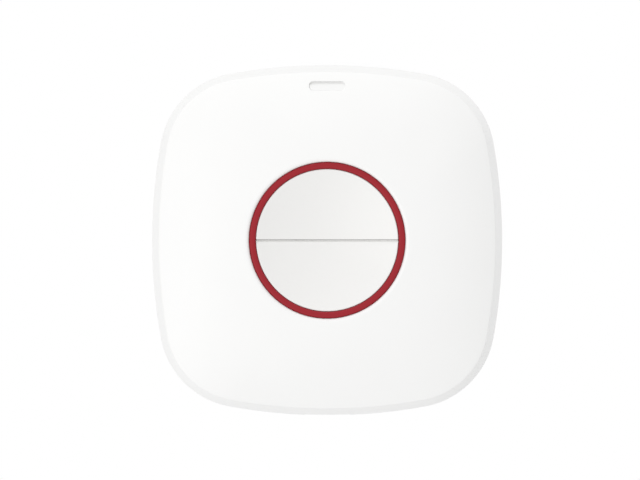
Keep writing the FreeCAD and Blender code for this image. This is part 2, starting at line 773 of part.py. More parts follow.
def half_key(label, side):
    """One half of the round pad: a dished cap with a skirt and a stop flange, a foot for the
    switch, a rib for the boot and two guide posts. side is 1 above the gap and -1 below it."""
    body = new_body(label)
    cap = outline(section_sketch(body, "cap"), heights_down([
        ("0", "dish_low - key_skin"),
        ("key_hollow_radius / 2", "under_break"),
        ("key_hollow_radius", "under_edge"),
        ("key_hollow_radius", "key_bottom"),
        ("key_flange_radius", "key_bottom"),
        ("key_flange_radius", "key_flange_top"),
        ("key_radius", "key_flange_top"),
        ("key_radius", "key_rim - key_edge"),
        ("key_radius - key_edge", "key_rim"),
        ("0", "key_rim"),
    ]))
    revolve(body, "cap_turned", cap)

    place = "%d * switch_place" % side
    foot = circle(front_sketch(body, "foot", "plunger_top"), "foot_radius", y=place)
    pad(body, "foot_pad", foot, "key_rim - (plunger_top)")
    rib = front_sketch(body, "boot_rib", "boot_top_level")
    circle(rib, "boot_top_radius", y=place)
    circle(rib, "boot_inner", y=place)
    pad(body, "boot_rib_pad", rib, "key_rim - (boot_top_level)")
    posts = front_sketch(body, "posts", "post_bottom")
    for way in (-1, 1):
        circle(posts, "post_radius", x="%d * post_x" % way, y="%d * post_z" % side)
    pad(body, "posts_pad", posts, "key_rim - (post_bottom)")
    split = front_sketch(body, "split_wall", "key_bottom")
    rectangle(split, "2 * key_hollow_radius + key_edge", "key_gap + 2 * key_wall")
    pad(body, "split_wall_pad", split, "key_rim - (key_bottom)")

    dish = outline(section_sketch(body, "dish"), heights_down([
        ("0", "dish_low"),
        ("dish_radius", "key_rim"),
        ("dish_radius", "key_rim + key_skin"),
        ("0", "key_rim + key_skin"),
    ]), arcs=(0,))
    groove(body, "dish_cut", dish)
    other_half = front_sketch(body, "other_half", "key_rim + key_skin")
    reach = "(key_flange_radius + key_skin)"
    rectangle(other_half, "2 * " + reach, reach + " + key_gap / 2",
              y="%d * (key_gap / 2 - %s) / 2" % (side, reach))
    pocket(body, "other_half_cut", other_half, "key_rim + key_skin")


def button_carrier():
    """Cup behind the keys: a wall that clamps the ring, a floor with bushes for the key posts and
    openings for the boots, and four ears for its screws."""
    body = new_body("button_carrier")
    floor = circle(front_sketch(body, "floor", "floor_bottom"), "carrier_radius")
    pad(body, "floor_pad", floor, "carrier_floor")
    wall = circle(front_sketch(body, "wall", "floor_top"), "carrier_radius")
    circle(wall, "carrier_inner")
    pad(body, "wall_pad", wall, "ring_bottom - (floor_top)")

    spots = [("%d * post_x" % across, "%d * post_z" % up) for across in (-1, 1) for up in (-1, 1)]
    bushes = front_sketch(body, "bushes", "floor_top")
    bores = front_sketch(body, "bores", "floor_top + bush_rise")
    for x, z in spots:
        circle(bushes, "post_radius + post_clearance + bush_wall", x=x, y=z)
        circle(bores, "post_radius + post_clearance", x=x, y=z)
    pad(body, "bushes_pad", bushes, "bush_rise")
    pocket(body, "bores_cut", bores, "bush_rise + carrier_floor")
    openings = front_sketch(body, "openings", "floor_top")
    for side in (-1, 1):
        circle(openings, "boot_foot_radius + boot_clearance", y="%d * switch_place" % side)
    pocket(body, "openings_cut", openings, "carrier_floor")

    bar_start = "(carrier_inner + carrier_wall / 2)"
    bar = front_sketch(body, "ear_bar", "ear_bottom")
    rectangle(bar, "ear_place - %s" % bar_start, "2 * ear_radius", x="(ear_place + %s) / 2" % bar_start)
    bar_pad = pad(body, "ear_bar_pad", bar, "ear_thickness")
    end = circle(front_sketch(body, "ear_end", "ear_bottom"), "ear_radius", x="ear_place")
    end_pad = pad(body, "ear_end_pad", end, "ear_thickness")
    ear_hole = front_sketch(body, "ear_hole", "ear_top")
    circle(ear_hole, "screw_radius + screw_clearance", x="ear_place")
    ear_hole_cut = pocket(body, "ear_hole_cut", ear_hole, "ear_thickness")
    around(body, "ears", [bar_pad, end_pad, ear_hole_cut])


def screw_set(label, x, z, seat):
    """Four like screws, put in from behind until their heads seat at a level, with cross recesses."""
    body = new_body(label)
    body.AllowCompound = True
    head_face, tip = seat + " - screw_head_height", seat + " + screw_length"
    screw = outline(section_sketch(body, "screw", x, z), heights_down([
        ("0", head_face),
        ("screw_head_radius", head_face),
        ("screw_head_radius", seat),
        ("screw_radius", seat),
        ("screw_radius", tip),
        ("0", tip),
    ]))
    turned = revolve(body, "turned", screw)
    features = [turned]
    for name, width, height in (("across", "recess_length", "recess_width"),
                                ("upright", "recess_width", "recess_length")):
        recess = front_sketch(body, "recess_" + name, head_face)
        rectangle(recess, width, height, x=x, y=z)
        features.append(pocket(body, "recess_cut_" + name, recess, "recess_depth", TOWARDS_VIEWER))
    around(body, "set", features)


# Board, switches and boots

def circuit_board():
    """Board with the housing's outline, drawn in, and four screw holes."""
    body = new_body("circuit_board")
    outer = inset_outline(front_sketch(body, "outer", "board_back"), "flare + wall + board_clearance")
    pad(body, "sheet", outer, "board_thickness")
    hole = front_sketch(body, "hole", "board_front")
    circle(hole, "screw_radius + screw_clearance", x="board_boss_place", y="board_boss_place")
    hole_cut = pocket(body, "hole_cut", hole, "board_thickness")
    around(body, "holes", [hole_cut])


def switch_base(label, side):
    """Moulded switch base with a round well and four solder terminals."""
    body = new_body(label)
    place = "%d * switch_place" % side
    base = front_sketch(body, "base", "board_front")
    rectangle(base, "switch_side", "switch_side", y=place)
    pad(body, "base_pad", base, "switch_height")
    well = front_sketch(body, "well", "switch_top")
    circle(well, "switch_well_radius", y=place)
    pocket(body, "well_cut", well, "switch_height - switch_floor")
    for up, name in ((-1, "low"), (1, "high")):
        legs = front_sketch(body, name + "_legs", "board_front")
        rectangle(legs, "switch_side + 2 * terminal_reach", "terminal_width",
                  y="%s + %d * terminal_place" % (place, up))
        pad(body, name + "_legs_pad", legs, "terminal_thickness")


def switch_cover(label, side):
    """Steel plate on the switch, with a hole for the plunger and two side tabs."""
    body = new_body(label)
    place = "%d * switch_place" % side
    plate = front_sketch(body, "plate", "switch_top")
    rectangle(plate, "switch_side + 2 * steel", "switch_side", y=place)
    pad(body, "plate_pad", plate, "steel")
    for way, name in ((-1, "left"), (1, "right")):
        tab = front_sketch(body, name + "_tab", "switch_top - tab_height")
        rectangle(tab, "steel", "tab_width", x="%d * (switch_side + steel) / 2" % way, y=place)
        pad(body, name + "_tab_pad", tab, "tab_height")
    hole = front_sketch(body, "hole", "plate_top")
    circle(hole, "plunger_radius + plunger_clearance", y=place)
    pocket(body, "hole_cut", hole, "steel")


def switch_plunger(label, side):
    """Plunger with a flange that stays under the steel cover."""
    body = new_body(label)
    flange = "(switch_well_radius - plunger_clearance)"
    section = section_sketch(body, "section", z="%d * switch_place" % side)
    outline(section, heights_down([
        ("0", "switch_top - plunger_flange"),
        (flange, "switch_top - plunger_flange"),
        (flange, "switch_top"),
        ("plunger_radius", "switch_top"),
        ("plunger_radius", "plunger_top - key_edge"),
        ("plunger_radius - key_edge", "plunger_top"),
        ("0", "plunger_top"),
    ]))
    revolve(body, "turned", section)


def switch_dome(label, side):
    """Snap dome: a thin raised steel disc on the floor of the well."""
    body = new_body(label)
    reach = "(switch_well_radius - plunger_clearance)"
    floor = "(board_front + switch_floor)"
    section = section_sketch(body, "section", z="%d * switch_place" % side)
    outline(section, heights_down([
        ("0", floor + " + snap_dome_rise"),
        ("snap_dome_top", floor + " + snap_dome_rise"),
        (reach, floor),
        (reach, floor + " + snap_dome_thickness"),
        ("snap_dome_top", floor + " + snap_dome_rise + snap_dome_thickness"),
        ("0", floor + " + snap_dome_rise + snap_dome_thickness"),
    ]))
    revolve(body, "turned", section)


def return_boot(label, side):
    """Silicone boot round a switch. It stands on the board and lifts the key."""
    body = new_body(label)
    foot_top = "board_front + boot_foot"
    shoulder = "boot_top_level - boot_top"
    section = section_sketch(body, "section", z="%d * switch_place" % side)
    outline(section, heights_down([
        ("boot_foot_radius - boot_flange - boot_wall", "board_front"),
        ("boot_foot_radius", "board_front"),
        ("boot_foot_radius", foot_top),
        ("boot_foot_radius - boot_flange", foot_top),
        ("boot_top_radius", shoulder),
        ("boot_top_radius", "boot_top_level"),
        ("boot_inner", "boot_top_level"),
        ("boot_inner", shoulder),
    ]))
    revolve(body, "turned", section)


def chip_on_board(label, x, z, width, height, thickness, level):
    """A flat component that starts at a level and rises towards the front."""
    body = new_body(label)
    shape = rectangle(front_sketch(body, "shape", level), width, height, x=x, y=z)
    pad(body, "block", shape, thickness)


def clock_crystal():
    """Crystal in a can with round ends, on the back of the board."""
    body = new_body("clock_crystal")
    shape = front_sketch(body, "shape", "board_back - crystal_thickness")
    rounded_rectangle(shape, "crystal_width", "crystal_height", "crystal_height / 2",
                      x="-(chip_place)", y="chip_z + crystal_height")
    pad(body, "can", shape, "crystal_thickness")


def board_parts():
    """Three rows of small parts on the back of the board."""
    body = new_body("board_parts")
    body.AllowCompound = True
    level = "board_back - small_part_thickness"
    for up, row in ((-1, "low"), (1, "high")):
        for way, name in ((-1, "left"), (1, "right")):
            if (up, way) == (1, 1):
                continue
            start = "%d * small_part_place - small_part_pitch * %g" % (way, (PARTS_IN_ROW - 1) / 2)
            shape = front_sketch(body, row + "_" + name, level)
            for index in range(PARTS_IN_ROW):
                rectangle(shape, "small_part_height", "small_part_width",
                          x="%s + %d * small_part_pitch" % (start, index),
                          y="%d * small_part_z" % up)
            pad(body, row + "_" + name + "_pad", shape, "small_part_thickness")


def antenna():
    """Stamped antenna that stands on edge on the board, on a feed leg and a ground leg."""
    body = new_body("antenna")
    low = "board_front + antenna_lift"
    top = low + " + antenna_width"
    end, start = "antenna_length / 2", "-(antenna_length / 2)"
    second = start + " + antenna_leg_pitch"
    strip = side_sketch(body, "strip", "-(antenna_place)")
    outline(strip, heights_back([
        ("board_front", start),
        (top, start),
        (top, end),
        (low, end),
        (low, second + " + antenna_leg"),
        ("board_front", second + " + antenna_leg"),
        ("board_front", second),
        (low, second),
        (low, start + " + antenna_leg"),
        ("board_front", start + " + antenna_leg"),
    ]))
    pad(body, "strip_pad", strip, "antenna_thickness", symmetric=True)


# Battery and its contacts

def coin_cell():
    """Coin cell: a can with rounded edges and the smaller cap on the board's side."""
    body = new_body("coin_cell")
    can_top = "cell_top - cell_cap_rise"
    section = outline(section_sketch(body, "section"), heights_down([
        ("0", "cell_bottom"),
        ("cell_radius - cell_edge", "cell_bottom"),
        ("cell_radius", "cell_bottom + cell_edge"),
        ("cell_radius", can_top + " - cell_edge"),
        ("cell_radius - cell_edge", can_top),
        ("cell_cap_radius", can_top),
        ("cell_cap_radius", "cell_top"),
        ("0", "cell_top"),
    ]))
    revolve(body, "turned", section)


def battery_holder():
    """Ring that holds the cell against the board, open below for a fingertip."""
    body = new_body("battery_holder")
    section = outline(section_sketch(body, "section"), heights_down([
        ("holder_inner", "holder_bottom"),
        ("holder_radius", "holder_bottom"),
        ("holder_radius", "board_back"),
        ("cell_cap_radius - holder_wall", "board_back"),
        ("cell_cap_radius - holder_wall", "board_back - holder_floor"),
        ("holder_inner", "board_back - holder_floor"),
    ]))
    revolve(body, "turned", section)
    opening = front_sketch(body, "opening", "holder_bottom")
    rectangle(opening, "holder_opening", "holder_radius", y="-(holder_radius)")
    depth = "board_back - holder_floor - (holder_bottom)"
    pocket(body, "opening_cut", opening, depth, TOWARDS_VIEWER)


def battery_positive_clip():
    """Bent strip across the back of the cell, soldered to the board on both sides."""
    body = new_body("battery_positive_clip")
    leg_out = "(clip_leg + clip_thickness)"
    foot_out = "(clip_leg + clip_thickness + clip_foot)"
    foot_low = "board_back - clip_thickness"
    right = [
        ("clip_leg", "cell_bottom"),
        ("clip_leg", "board_back"),
        (foot_out, "board_back"),
        (foot_out, foot_low),
        (leg_out, foot_low),
        (leg_out, "clip_bottom"),
    ]
    left = [(negative(across), height) for across, height in reversed(right)]
    strip = outline(section_sketch(body, "strip"), heights_down(right + left))
    pad(body, "strip_pad", strip, "clip_width", symmetric=True)


def battery_negative_contact():
    """Leaf that bows from the board to the cap of the cell."""
    body = new_body("battery_negative_contact")
    upper = [
        ("contact_foot", "board_back"),
        ("contact_hip", "board_back"),
        ("contact_crest", "cell_top + contact_thickness"),
    ]
    lower = [
        ("contact_crest", "cell_top"),
        ("contact_hip", "board_back - contact_thickness"),
        ("contact_foot", "board_back - contact_thickness"),
    ]
    mirrored_upper = [(negative(across), height) for across, height in reversed(upper)]
    mirrored_lower = [(negative(across), height) for across, height in reversed(lower)]
    strip = outline(section_sketch(body, "strip"),
                    heights_down(upper + mirrored_upper + mirrored_lower + lower))
    pad(body, "strip_pad", strip, "contact_width", symmetric=True)


# Tamper switch

def tamper_housing():
    """Square switch housing on the back of the board, with a bore for the pin and a chamber for
    its flange and spring."""
    body = new_body("tamper_housing")
    block = front_sketch(body, "block", "tamper_bottom")
    rectangle(block, "tamper_side", "tamper_side", y="-(tamper_place)")
    pad(body, "block_pad", block, "tamper_height")
    chamber = circle(front_sketch(body, "chamber", "board_back"), "tamper_chamber_radius",
                     y="-(tamper_place)")
    pocket(body, "chamber_cut", chamber, "tamper_height - tamper_floor")
    bore = circle(front_sketch(body, "bore", "board_back"), "pin_radius + pin_clearance",
                  y="-(tamper_place)")
    pocket(body, "bore_cut", bore, "tamper_height")


def tamper_pin():
    """Pin that reaches through the rear cover to the wall, with a flange under its spring."""
    body = new_body("tamper_pin")
    section = outline(section_sketch(body, "section", z="-(tamper_place)"), heights_down([
        ("0", "pin_recess"),
        ("pin_radius - key_edge", "pin_recess"),
        ("pin_radius", "pin_recess + key_edge"),
        ("pin_radius", "pin_flange_bottom"),
        ("pin_flange_radius", "pin_flange_bottom"),
        ("pin_flange_radius", "pin_flange_top"),
        ("pin_stub_radius", "pin_flange_top"),
        ("pin_stub_radius", "pin_flange_top + pin_stub_height"),
        ("0", "pin_flange_top + pin_stub_height"),
    ]))
    revolve(body, "turned", section)


def tamper_spring():
    """Short spring of square wire between the pin's flange and the board."""
    body = new_body("tamper_spring")
    start = "(pin_flange_top + spring_end_gap)"
    wire = outline(section_sketch(body, "wire", z="-(tamper_place)"), heights_down([
        ("spring_radius - spring_wire", start),
        ("spring_radius", start),
        ("spring_radius", start + " + spring_wire"),
        ("spring_radius - spring_wire", start + " + spring_wire"),
    ]))
    rise = "(board_back - spring_end_gap - spring_wire - %s)" % start
    coil = body.newObject("PartDesign::AdditiveHelix", "tamper_spring_coil")
    coil.Profile = wire
    coil.ReferenceAxis = (wire, ["V_Axis"])
    coil.Mode = "height-turns-angle"
    coil.Reversed = True
    coil.Angle = 0
    bind(coil, "Height", rise)
    bind(coil, "Turns", "spring_turns")
    doc.recompute()


def main():
    front_cover()
    rear_cover()
    indicator_light_guide()
    red_ring()
    button_carrier()
    circuit_board()
    for label, side in (("upper", 1), ("lower", -1)):
        half_key(label + "_button", side)
        switch_base(label + "_switch_base", side)
        switch_cover(label + "_switch_cover", side)
        switch_plunger(label + "_switch_plunger", side)
        switch_dome(label + "_switch_dome", side)
        return_boot(label + "_return_boot", side)
    screw_set("carrier_screws", "ear_place", "0", "ear_bottom")
    screw_set("board_screws", "board_boss_place", "board_boss_place", "board_back")
    chip_on_board("status_light", "0", "light_place", "light_width", "light_height",
                  "light_thickness", "board_front")
    chip_on_board("radio_module", "0", "radio_place", "radio_width", "radio_height",
                  "radio_thickness", "board_back - radio_thickness")
    chip_on_board("radio_shield", "0", "radio_place", "radio_width - 2 * shield_margin",
                  "radio_height - 2 * shield_margin", "shield_thickness",
                  "board_back - radio_thickness - shield_thickness")
    chip_on_board("controller_chip", "chip_place", "chip_z", "chip_side", "chip_side",
                  "chip_thickness", "board_back - chip_thickness")
    clock_crystal()
    board_parts()
    antenna()
    coin_cell()
    battery_holder()
    battery_positive_clip()
    battery_negative_contact()
    tamper_housing()
    tamper_pin()
    tamper_spring()


def check():
    """Stops where an object failed or a sub-part has no sound shape."""
    doc.recompute()
    for item in doc.Objects:
        if "Invalid" in item.State or "Error" in item.State:
            raise RuntimeError("%s failed: %s" % (item.Label, item.State))
    for part in parts:
        if part.Shape.isNull() or not part.Shape.isValid():
            raise RuntimeError("%s has no valid shape" % part.Label)


main()
check()
os.makedirs("parts", exist_ok=True)
for part in parts:
    part.Shape.exportStep("parts/%s.step" % part.Label)
print("%d sub-parts written" % len(parts))
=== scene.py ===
# %% [markdown]
# # A wireless panic button for the wall
#
# The real object is a softly square housing of white plastic, 70 mm wide. In its middle two white
# half-round keys lie in a red ring, and above them is a small window for an indicator light. A flat
# plate closes it at the back and is screwed to the wall.
#
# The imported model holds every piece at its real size. This script gives the pieces that show their
# smooth surfaces and soft edges, gives all of them a finish, and lights the object like the
# product picture: white on white, with soft light from the left and from above.

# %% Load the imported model
import json
import math

import bmesh
import bpy
import numpy as np
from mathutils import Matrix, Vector
from mathutils.geometry import delaunay_2d_cdt


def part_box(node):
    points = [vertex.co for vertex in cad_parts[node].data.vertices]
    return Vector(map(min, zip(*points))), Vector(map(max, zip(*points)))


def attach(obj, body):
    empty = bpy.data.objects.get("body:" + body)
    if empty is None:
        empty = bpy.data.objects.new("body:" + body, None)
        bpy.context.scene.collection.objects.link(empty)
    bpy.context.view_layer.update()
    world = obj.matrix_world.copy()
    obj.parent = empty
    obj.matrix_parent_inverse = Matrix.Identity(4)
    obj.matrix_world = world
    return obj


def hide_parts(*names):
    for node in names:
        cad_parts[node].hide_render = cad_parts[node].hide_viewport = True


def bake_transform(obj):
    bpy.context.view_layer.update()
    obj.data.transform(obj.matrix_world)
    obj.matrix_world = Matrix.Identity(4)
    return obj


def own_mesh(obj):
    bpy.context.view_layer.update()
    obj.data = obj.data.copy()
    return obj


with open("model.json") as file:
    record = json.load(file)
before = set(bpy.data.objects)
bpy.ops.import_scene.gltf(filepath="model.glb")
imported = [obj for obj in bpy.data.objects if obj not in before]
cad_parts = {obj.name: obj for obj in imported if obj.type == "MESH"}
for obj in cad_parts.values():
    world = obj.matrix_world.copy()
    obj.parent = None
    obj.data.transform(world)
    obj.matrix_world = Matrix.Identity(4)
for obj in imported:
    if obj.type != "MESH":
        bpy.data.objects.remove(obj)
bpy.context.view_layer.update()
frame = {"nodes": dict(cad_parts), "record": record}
nodes = frame["nodes"]

# %% [markdown]
# ## Sizes
#
# The model stands upright: +X is right, +Z is up, and the front faces -Y. The wall is at Y = 0, so
# a height above the wall is a distance along -Y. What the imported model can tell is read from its
# boxes. The rest are the housing's own sizes in metres: its radii, its wall and how far it domes.

# %% Sizes
MM = 0.001
TINY = 0.02 * MM  # keeps two faces apart that would lie in one plane
MERGE = 0.0002 * MM  # points nearer than this are one point
SHARP = math.radians(35)  # an edge that turns by more than this stays crisp

cover_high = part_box("front_cover")[1]
ring_low, ring_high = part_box("red_ring")
key_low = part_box("upper_button")[0]
guide_low, guide_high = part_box("indicator_light_guide")
boot_low, boot_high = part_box("upper_return_boot")
snap_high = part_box("upper_switch_dome")[1]
spring_low, spring_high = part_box("tamper_spring")

half_width = cover_high.x
rim_height = -cover_high.y
side_radius = 110 * MM
corner_radius = 17 * MM
flare = 1.5 * MM
wall = 2 * MM
dome_rise = 5.5 * MM
dome_cone_share = 0.34
dome_power = 2.5
crown_inset = 1 * MM
crown_side_extra = 0.5 * MM
crease_wall_share = 0.6

ring_top = -ring_low.y
ring_bottom = -ring_high.y
key_rim = -key_low.y
crown_height = ring_top + 0.4 * MM
crease_height = crown_height - dome_rise
key_radius = 14.05 * MM
key_gap = 2 * key_low.z
ring_inner = key_radius + 0.15 * MM
ring_outer = ring_inner + 1.45 * MM
eye_radius = ring_outer + 0.2 * MM
trim_outer = ring_outer - 0.12 * MM
eye_edge = trim_outer + 0.03 * MM
cap_radius = ring_inner - 0.06 * MM
collar_radius = eye_radius + 1.6 * MM
crease_half = half_width - flare
crown_half = eye_radius - crown_inset
print("housing %.1f mm wide, dome from %.1f to %.1f mm above the wall"
      % (2 * half_width / MM, crease_height / MM, crown_height / MM))

# %% [markdown]
# ## Camera
#
# The picture looks straight at the front through a long lens, so the sides of the housing run
# almost parallel. The middle of the housing lies a little right of the middle of the picture. The
# camera keeps its aim straight ahead and stands that much to the left.

# %% Camera
PICTURE_WIDTH_PX, PICTURE_HEIGHT_PX = 640, 480
PX_PER_MM = 5.006
MIDDLE_X_PX, MIDDLE_Y_PX = 327.15, 240.2
camera_distance = 3.0
picture_width = PICTURE_WIDTH_PX / PX_PER_MM * MM


def put(name, data):
    """A new object with this data, in the scene."""
    placed = bpy.data.objects.new(name, data)
    bpy.context.scene.collection.objects.link(placed)
    return placed


camera_data = bpy.data.cameras.new("camera")
camera_data.sensor_width = 36
camera_data.lens = camera_data.sensor_width * camera_distance / picture_width
camera_data.clip_start = 0.01
camera = put("camera", camera_data)
camera.location = (
    (PICTURE_WIDTH_PX / 2 - MIDDLE_X_PX) / PX_PER_MM * MM,
    -camera_distance - rim_height,
    (MIDDLE_Y_PX - PICTURE_HEIGHT_PX / 2) / PX_PER_MM * MM,
)
camera.rotation_euler = (math.pi / 2, 0, 0)
bpy.context.scene.camera = camera
bpy.context.scene.view_settings.view_transform = "Standard"
print("lens", round(camera_data.lens), "mm")

# %% [markdown]
# ## Nodes
#
# The light, the finishes and the shapes that repeat are all made of nodes. A node is one step with
# settings and inputs, and an input takes a value or a link from another node. Written out, every
# value and every link is a line of its own. So one helper makes a node and fills its inputs either
# way, and a few more do sums and turn one range of values into another.

# %% Nodes
def feed(tree, target, inputs):
    """Fills a node's inputs, named or numbered, with values or with links from sockets."""
    for key, source in inputs.items():
        if isinstance(source, bpy.types.NodeSocket):
            tree.links.new(source, target.inputs[key])
        else:
            target.inputs[key].default_value = source


def node(tree, kind, inputs=None, **settings):
    """A new node with its settings and its inputs."""
    made = tree.nodes.new(kind)
    for setting, value in settings.items():
        setattr(made, setting, value)
    feed(tree, made, inputs or {})
    return made


def calculated(tree, operation, first, second):
    """The result of one operation on two numbers, each a value or a socket."""
    return node(tree, "ShaderNodeMath", {0: first, 1: second}, operation=operation).outputs[0]


def span(tree, source, low, high, low_at=0.0, high_at=1.0, curve="LINEAR"):
    """Turns a value into one between low and high."""
    return node(tree, "ShaderNodeMapRange", {
        "Value": source, "From Min": low_at, "From Max": high_at, "To Min": low, "To Max": high,
    }, interpolation_type=curve).outputs[0]


def new_tree(kind, name, inputs, outputs):
    """A tree whose inputs and outputs are given by name and kind, and by a default if they have
    one. Returns it with the sockets that its inputs come from and that its outputs go to."""
    tree = bpy.data.node_groups.new(name, kind)
    for in_out, sockets in (("INPUT", inputs), ("OUTPUT", outputs)):
        for label, value_kind, *default in sockets:
            socket = tree.interface.new_socket(
                label, in_out=in_out, socket_type="NodeSocket" + value_kind)
            if default:
                socket.default_value = default[0]
    return tree, tree.nodes.new("NodeGroupInput").outputs, tree.nodes.new("NodeGroupOutput").inputs


print("helpers for shader trees and geometry trees are ready")

# %% [markdown]
# ## Light and background
#
# The photograph is a studio picture with white all round. The edges of the object stay white at
# the top and at the left and turn grey at the right, so one large soft lamp stands at the left in
# front and one hangs above. An even world stands for the white studio, and sun lamps with a wide
# angle for the two lamps. Straight to the camera, and in glossy or clear surfaces, the world is
# plain white. That changes the background and not the light on the object.

# %% World and lamps
world_level = 0.766
lamp_spread = math.radians(50)
lamps = (
    ("top_lamp", 0.65, Vector((0.0, -0.17, 0.98))),
    ("left_lamp", 0.73, Vector((-0.58, -0.77, -0.27))),
)

world = bpy.data.worlds.new("studio")
bpy.context.scene.world = world
world.use_nodes = True
tree = world.node_tree
tree.nodes.clear()
ray = node(tree, "ShaderNodeLightPath").outputs
seen = calculated(tree, "MAXIMUM", ray["Is Camera Ray"], ray["Is Glossy Ray"])
seen = calculated(tree, "MAXIMUM", seen, ray["Is Transmission Ray"])
strength = span(tree, seen, world_level, 1.0)
sky = node(tree, "ShaderNodeBackground", {"Color": (1, 1, 1, 1), "Strength": strength})
node(tree, "ShaderNodeOutputWorld", {"Surface": sky.outputs[0]})

for name, lamp_level, direction in lamps:
    lamp_data = bpy.data.lights.new(name, "SUN")
    lamp_data.energy = lamp_level
    lamp_data.angle = lamp_spread
    lamp = put(name, lamp_data)
    lamp.rotation_euler = direction.to_track_quat("Z", "Y").to_euler()
    lamp.location = direction
    print(name, lamp_level, "beside a world of", world_level)

# %% [markdown]
# ## Floor
#
# A wall button hangs, so the floor lies well below it and outside the picture, where it takes the
# soft shadow. It is a round sheet whose material fades to clear, so no rim shows from other sides.
# For light it fades sooner than for the camera, so that it doesn't stand in the left lamp's way.
# The camera sees through its underside, so that it doesn't hide the object from below. A plain disc
# is enough, because only its colour and fade matter.

# %% Floor
floor_drop = 240 * MM
floor_radius = 1.2
light_fade, camera_fade = (0.08, 0.5), (0.4, floor_radius)
floor_white = (0.85, 0.85, 0.85, 1)
FLOOR_CORNERS = 96

turns = [2 * math.pi * k / FLOOR_CORNERS for k in range(FLOOR_CORNERS)]
floor_mesh = bpy.data.meshes.new("floor")
floor_mesh.from_pydata(
    [(floor_radius * math.cos(a), floor_radius * math.sin(a), -floor_drop) for a in turns],
    [], [list(range(FLOOR_CORNERS))])
floor = put("floor", floor_mesh)

floor_material = bpy.data.materials.new("floor_white")
floor_material.use_nodes = True
tree = floor_material.node_tree
tree.nodes.clear()
place = node(tree, "ShaderNodeTexCoord").outputs["Object"]
distance = node(tree, "ShaderNodeVectorMath", {0: place}, operation="LENGTH").outputs["Value"]
clear_to_light, clear_to_camera = (
    span(tree, distance, 0, 1, *reach, "SMOOTHSTEP") for reach in (light_fade, camera_fade))
underside = node(tree, "ShaderNodeNewGeometry").outputs["Backfacing"]
fade = node(tree, "ShaderNodeMix", {
    "Factor": node(tree, "ShaderNodeLightPath").outputs["Is Camera Ray"],
    "A": clear_to_light, "B": calculated(tree, "MAXIMUM", clear_to_camera, underside),
})
matt = node(tree, "ShaderNodeBsdfDiffuse", {"Color": floor_white})
nothing = node(tree, "ShaderNodeBsdfTransparent")
blend = node(tree, "ShaderNodeMixShader",
             {"Fac": fade.outputs[0], 1: matt.outputs[0], 2: nothing.outputs[0]})
node(tree, "ShaderNodeOutputMaterial", {"Surface": blend.outputs[0]})
floor_mesh.materials.append(floor_material)
print("floor", round(floor_drop / MM), "mm below the middle")

# %% [markdown]
# ## Effects that the finishes share
#
# Moulded plastic is never one flat colour: its tool is spark-eroded, which leaves a fine grain that
# spreads the gloss, and the colour clouds very slightly. Stamped or brushed metal has fine lines
# one way. Each effect is a node group, built once, and each finish sets its own values.

# %% Node groups
LINE_STRETCH = 0.03  # a line is as many times longer than wide as this goes into 1


def noise(tree, place, size_mm, detail):
    """A noise whose patches are about that many millimetres wide."""
    scale = calculated(tree, "DIVIDE", 1 / MM, size_mm)
    return node(tree, "ShaderNodeTexNoise",
                {"Vector": place, "Scale": scale, "Detail": detail}).outputs["Fac"]


def grain_group():
    """Fine grain of a spark-eroded tool, and a slow clouding."""
    group, given, result = new_tree(
        "ShaderNodeTree", "moulded_grain",
        [("Grain Size", "Float", 0.15), ("Cloud Size", "Float", 12.0)],
        [("Grain", "Float"), ("Cloud", "Float")])
    place = node(group, "ShaderNodeTexCoord").outputs["Object"]
    for effect, detail in (("Grain", 3.0), ("Cloud", 2.0)):
        group.links.new(noise(group, place, given[effect + " Size"], detail), result[effect])
    return group


def lines_group():
    """Fine lines along X, as rolling and brushing leave them."""
    group, given, result = new_tree(
        "ShaderNodeTree", "rolled_lines", [("Line Size", "Float", 0.08)], [("Lines", "Float")])
    place = node(group, "ShaderNodeTexCoord").outputs["Object"]
    stretched = node(group, "ShaderNodeMapping", {"Vector": place, "Scale": (LINE_STRETCH, 1, 1)})
    group.links.new(noise(group, stretched.outputs[0], given["Line Size"], 2), result["Lines"])
    return group


grain = grain_group()
lines = lines_group()
print("made the groups", grain.name, "and", lines.name)

# %% [markdown]
# ## Finishes
#
# Every finish starts from the same shader with a colour and a gloss. The grain moves its roughness
# and lifts the surface by a few thousandths of a millimetre at most. The clouding moves its colour
# by one percent, and on the red ring by four. Colours are linear values of light, so 0.9 is a
# bright white. Each finish is kept under the name of its slot in the record.

# %% Plastics and rubber
finishes = {}
GLOSS_SWING = 0.04


def start_finish(name):
    """A material with one Principled shader, and its node tree."""
    material = finishes[name] = bpy.data.materials.new(name)
    material.use_nodes = True
    return material, material.node_tree, material.node_tree.nodes["Principled BSDF"]


def tint(tree, source, dark, light):
    """Turns a value into a colour between two colours."""
    return node(tree, "ShaderNodeMix", {
        "Factor": source, "A": (*dark, 1), "B": (*light, 1)}, data_type="RGBA").outputs["Result"]


def bump(tree, source, depth_mm):
    """A bump whose height is a share of a depth."""
    return node(tree, "ShaderNodeBump", {"Distance": depth_mm * MM, "Height": source}).outputs[0]


def effect_finish(name, effect, sizes, tones, roughness, swing, depth_mm, more):
    """A finish that a shared effect works on: its first output moves the gloss and the surface,
    its last the colour between two tones. More are settings of the shader's own."""
    material, tree, shader = start_finish(name)
    outputs = node(tree, "ShaderNodeGroup", sizes, node_tree=effect).outputs
    feed(tree, shader, {
        "Base Color": tint(tree, outputs[-1], *tones),
        "Roughness": span(tree, outputs[0], roughness - swing, roughness + swing),
        "Normal": bump(tree, outputs[0], depth_mm),
        **more,
    })
    return material


def plastic(name, colour, roughness, grain_mm=0.15, depth_mm=0.002, cloud=0.01, **more):
    """Moulded plastic of a colour, with its grain."""
    tones = [c * (1 - cloud) for c in colour], [min(c * (1 + cloud), 1) for c in colour]
    return effect_finish(name, grain, {"Grain Size": grain_mm}, tones, roughness, GLOSS_SWING,
                         depth_mm, more)


